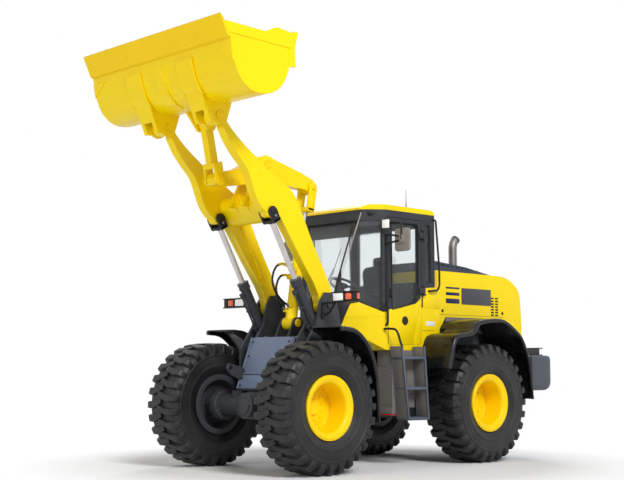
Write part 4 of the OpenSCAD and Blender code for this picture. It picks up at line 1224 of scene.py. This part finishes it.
def add_seat():
    cushion("seat_cushion", (-350, 0, 1830), (540, 490, 150), 4, 0.34, 3, ["operator_seat"])
    cushion("seat_back", (-640, 0, 2190), (620, 470, 130), -81, 0.34, 3)
    cushion("head_rest", (-705, 0, 2540), (170, 270, 100), -81, 0.45)
    for side, hand in SIDES:
        cushion("arm_pad_" + hand, (-370, side * 295, 2098), (370, 68, 46), 0, 0.5)
    bm = bmesh.new()
    block(bm, (-600, -200, 1462), (-140, 200, 1500), 8)
    for i in range(5):
        fold = 8 * (i % 2)
        z = 1500 + 50 * i
        block(bm, (-580 + fold, -180 + fold, z), (-160 - fold, 180 - fold, z + 48), 14)
    block(bm, (-600, -210, 1745), (-110, 210, 1775), 8)
    arm = [(-600, 235, 1790), (-600, 295, 1850), (-600, 295, 2075), (-500, 295, 2078)]
    for side in (1, -1):
        side_tube(bm, side, arm, 40, 16)
    keep("seat_base", bm, TRIM)


# Exhaust outlet: where its bend starts, the bend's radius and its angle
STACK_X, STACK_Z = -2150, 2830
STACK_BEND = 170
STACK_TURN = math.radians(50)


def add_rear_end():
    bm = bmesh.new()
    for z0, z1 in ((1349, 1366), (1443, 1458)):
        block(bm, (-2960, -905, z0), (-2872, 905, z1), 3)
    block(bm, (-2884, -905, 1352), (-2872, 905, 1458), 2)
    keep("rear_channel", bm, IRON)
    bm = bmesh.new()
    for side in (1, -1):
        for x, y, z in ((-3059, 300, 820), (-3104, 520, 1180)):
            turned(bm, [(0, 46), (5, 46), (5, 34), (-10, 32)], Vector((x, side * y, z)), (-1, 0, 0), 32)
    for y, z in (((-446, -428), (1470, 2110)), ((428, 446), (1470, 2110)), ((-446, 446), (2098, 2116)),
                 ((-446, 446), (1466, 1484))):
        block(bm, (-2874, y[0], z[0]), (-2850, y[1], z[1]), 4)
    keep("rear_grille_frame", bm, SLATE)
    bm = bmesh.new()
    across, rise = math.cos(STACK_TURN), math.sin(STACK_TURN)
    end = Vector((STACK_X - STACK_BEND + STACK_BEND * across, 0, STACK_Z + STACK_BEND * rise))
    ring(bm, [(-14, 57), (-14, 61), (16, 61), (18, 59), (18, 52), (2, 52)], end, (-rise, 0, across))
    ring(bm, [(-360, 58), (-360, 64), (-340, 64), (-340, 58)], (STACK_X, 0, STACK_Z), (0, 0, 1))
    keep("exhaust_lip", bm, IRON, slot="black_paint")
    bm = bmesh.new()
    for side in (1, -1):
        for i in range(9):
            x = -1240 - 95 * i
            side_block(bm, side, (x - 30, x + 30), (470, 535), (2535 - 7 * i, 2552 - 8 * i), 5)
    keep("hood_cover_louvres", bm, SLATE)


# Studio
WHITE = (1, 1, 1, 1)
FLOOR_HALF = 60
LAMP_SIZE = 8.0
LAMP_AIM = Vector((0, 0, 1.8))
# Lamps: name, place in metres, power in watts
LAMPS = (("key", (8.0, 22.0, 18.0), 5600), ("fill", (22.0, 1.0, 6.0), 900),
         ("back", (-16.0, -14.0, 14.0), 1900))


def seen_by_eye(tree):
    """1 for rays that come from the camera, straight, through glass or off a gloss."""
    path = add_node(tree, "LightPath")
    seen = add_node(tree, "Math", {"operation": "MAXIMUM"},
                    {0: (path, "Is Camera Ray"), 1: (path, "Is Transmission Ray")})
    return add_node(tree, "Math", {"operation": "MAXIMUM"}, {0: (seen, 0), 1: (path, "Is Glossy Ray")})


def studio_paper(name, colour, near, far):
    """Studio paper: takes the shadow close to the machine and is plain white to the eye further out."""
    made, tree = new_material(name)
    seen = seen_by_eye(tree)
    place = add_node(tree, "NewGeometry")
    reach = add_node(tree, "VectorMath", {"operation": "LENGTH"}, {0: (place, "Position")})
    fade = add_node(tree, "MapRange", {"From Min": near, "From Max": far}, {"Value": (reach, "Value")})
    share = add_node(tree, "Math", {"operation": "MULTIPLY"}, {0: (fade, 0), 1: (seen, 0)})
    paper = add_node(tree, "BsdfDiffuse", {"Color": hex_linear(colour)})
    white = add_node(tree, "Emission", {"Color": WHITE, "Strength": 1.0})
    both = add_node(tree, "MixShader", links={0: (share, 0), 1: (paper, 0), 2: (white, 0)})
    return end_material(made, both)


def add_studio():
    data = bpy.data.meshes.new("floor")
    corners = [(x * FLOOR_HALF, y * FLOOR_HALF, 0) for x, y in ((-1, -1), (1, -1), (1, 1), (-1, 1))]
    data.from_pydata(corners, [], [(0, 1, 2, 3)])
    data.materials.append(studio_paper("studio_floor_paper", "F6F6F6", 2.5, 4.0))
    floor = link("floor", data)
    world = bpy.data.worlds.new("studio_world")
    bpy.context.scene.world = world
    world.use_nodes = True
    tree = world.node_tree
    tree.nodes.clear()
    seen = seen_by_eye(tree)
    soft = add_node(tree, "Background", {"Color": hex_linear("F2F4F7"), "Strength": 0.32})
    white = add_node(tree, "Background", {"Color": WHITE, "Strength": 1.0})
    both = add_node(tree, "MixShader", links={0: (seen, 0), 1: (soft, 0), 2: (white, 0)})
    add_node(tree, "OutputWorld", links={"Surface": (both, 0)})
    for name, at, power in LAMPS:
        data = bpy.data.lights.new(name, "AREA")
        data.size = LAMP_SIZE
        data.energy = power
        lamp = link(name, data)
        lamp.location = at
        lamp.rotation_euler = (LAMP_AIM - Vector(at)).to_track_quat("-Z", "Y").to_euler()


add_camera()
add_tilt_hoses()
paint_nodes()
for x, end in ((AXLE_X, "front"), (-AXLE_X, "rear")):
    for side, hand in SIDES:
        add_tyre(x, side, end, hand)
for side, hand in SIDES:
    add_lift_cylinder(side, hand)
    add_head_lamp(side, hand)
    add_hood_side(side, hand)
    add_ladder(side, hand)
    add_mirror(side, hand)
    add_rear_lamp(side, hand)
    add_fenders(side, hand)
    add_cab_corner(side, hand)
    add_side_tank(side, hand)
add_tilt_cylinder()
add_pin_caps()
add_nose_cover()
add_boom_welds()
add_bucket_bolts()
add_cab_trim()
add_door_trim()
add_seat()
add_rear_end()
add_axle_details()
add_counterweight()
add_studio()
bpy.context.scene.view_settings.view_transform = "Standard"
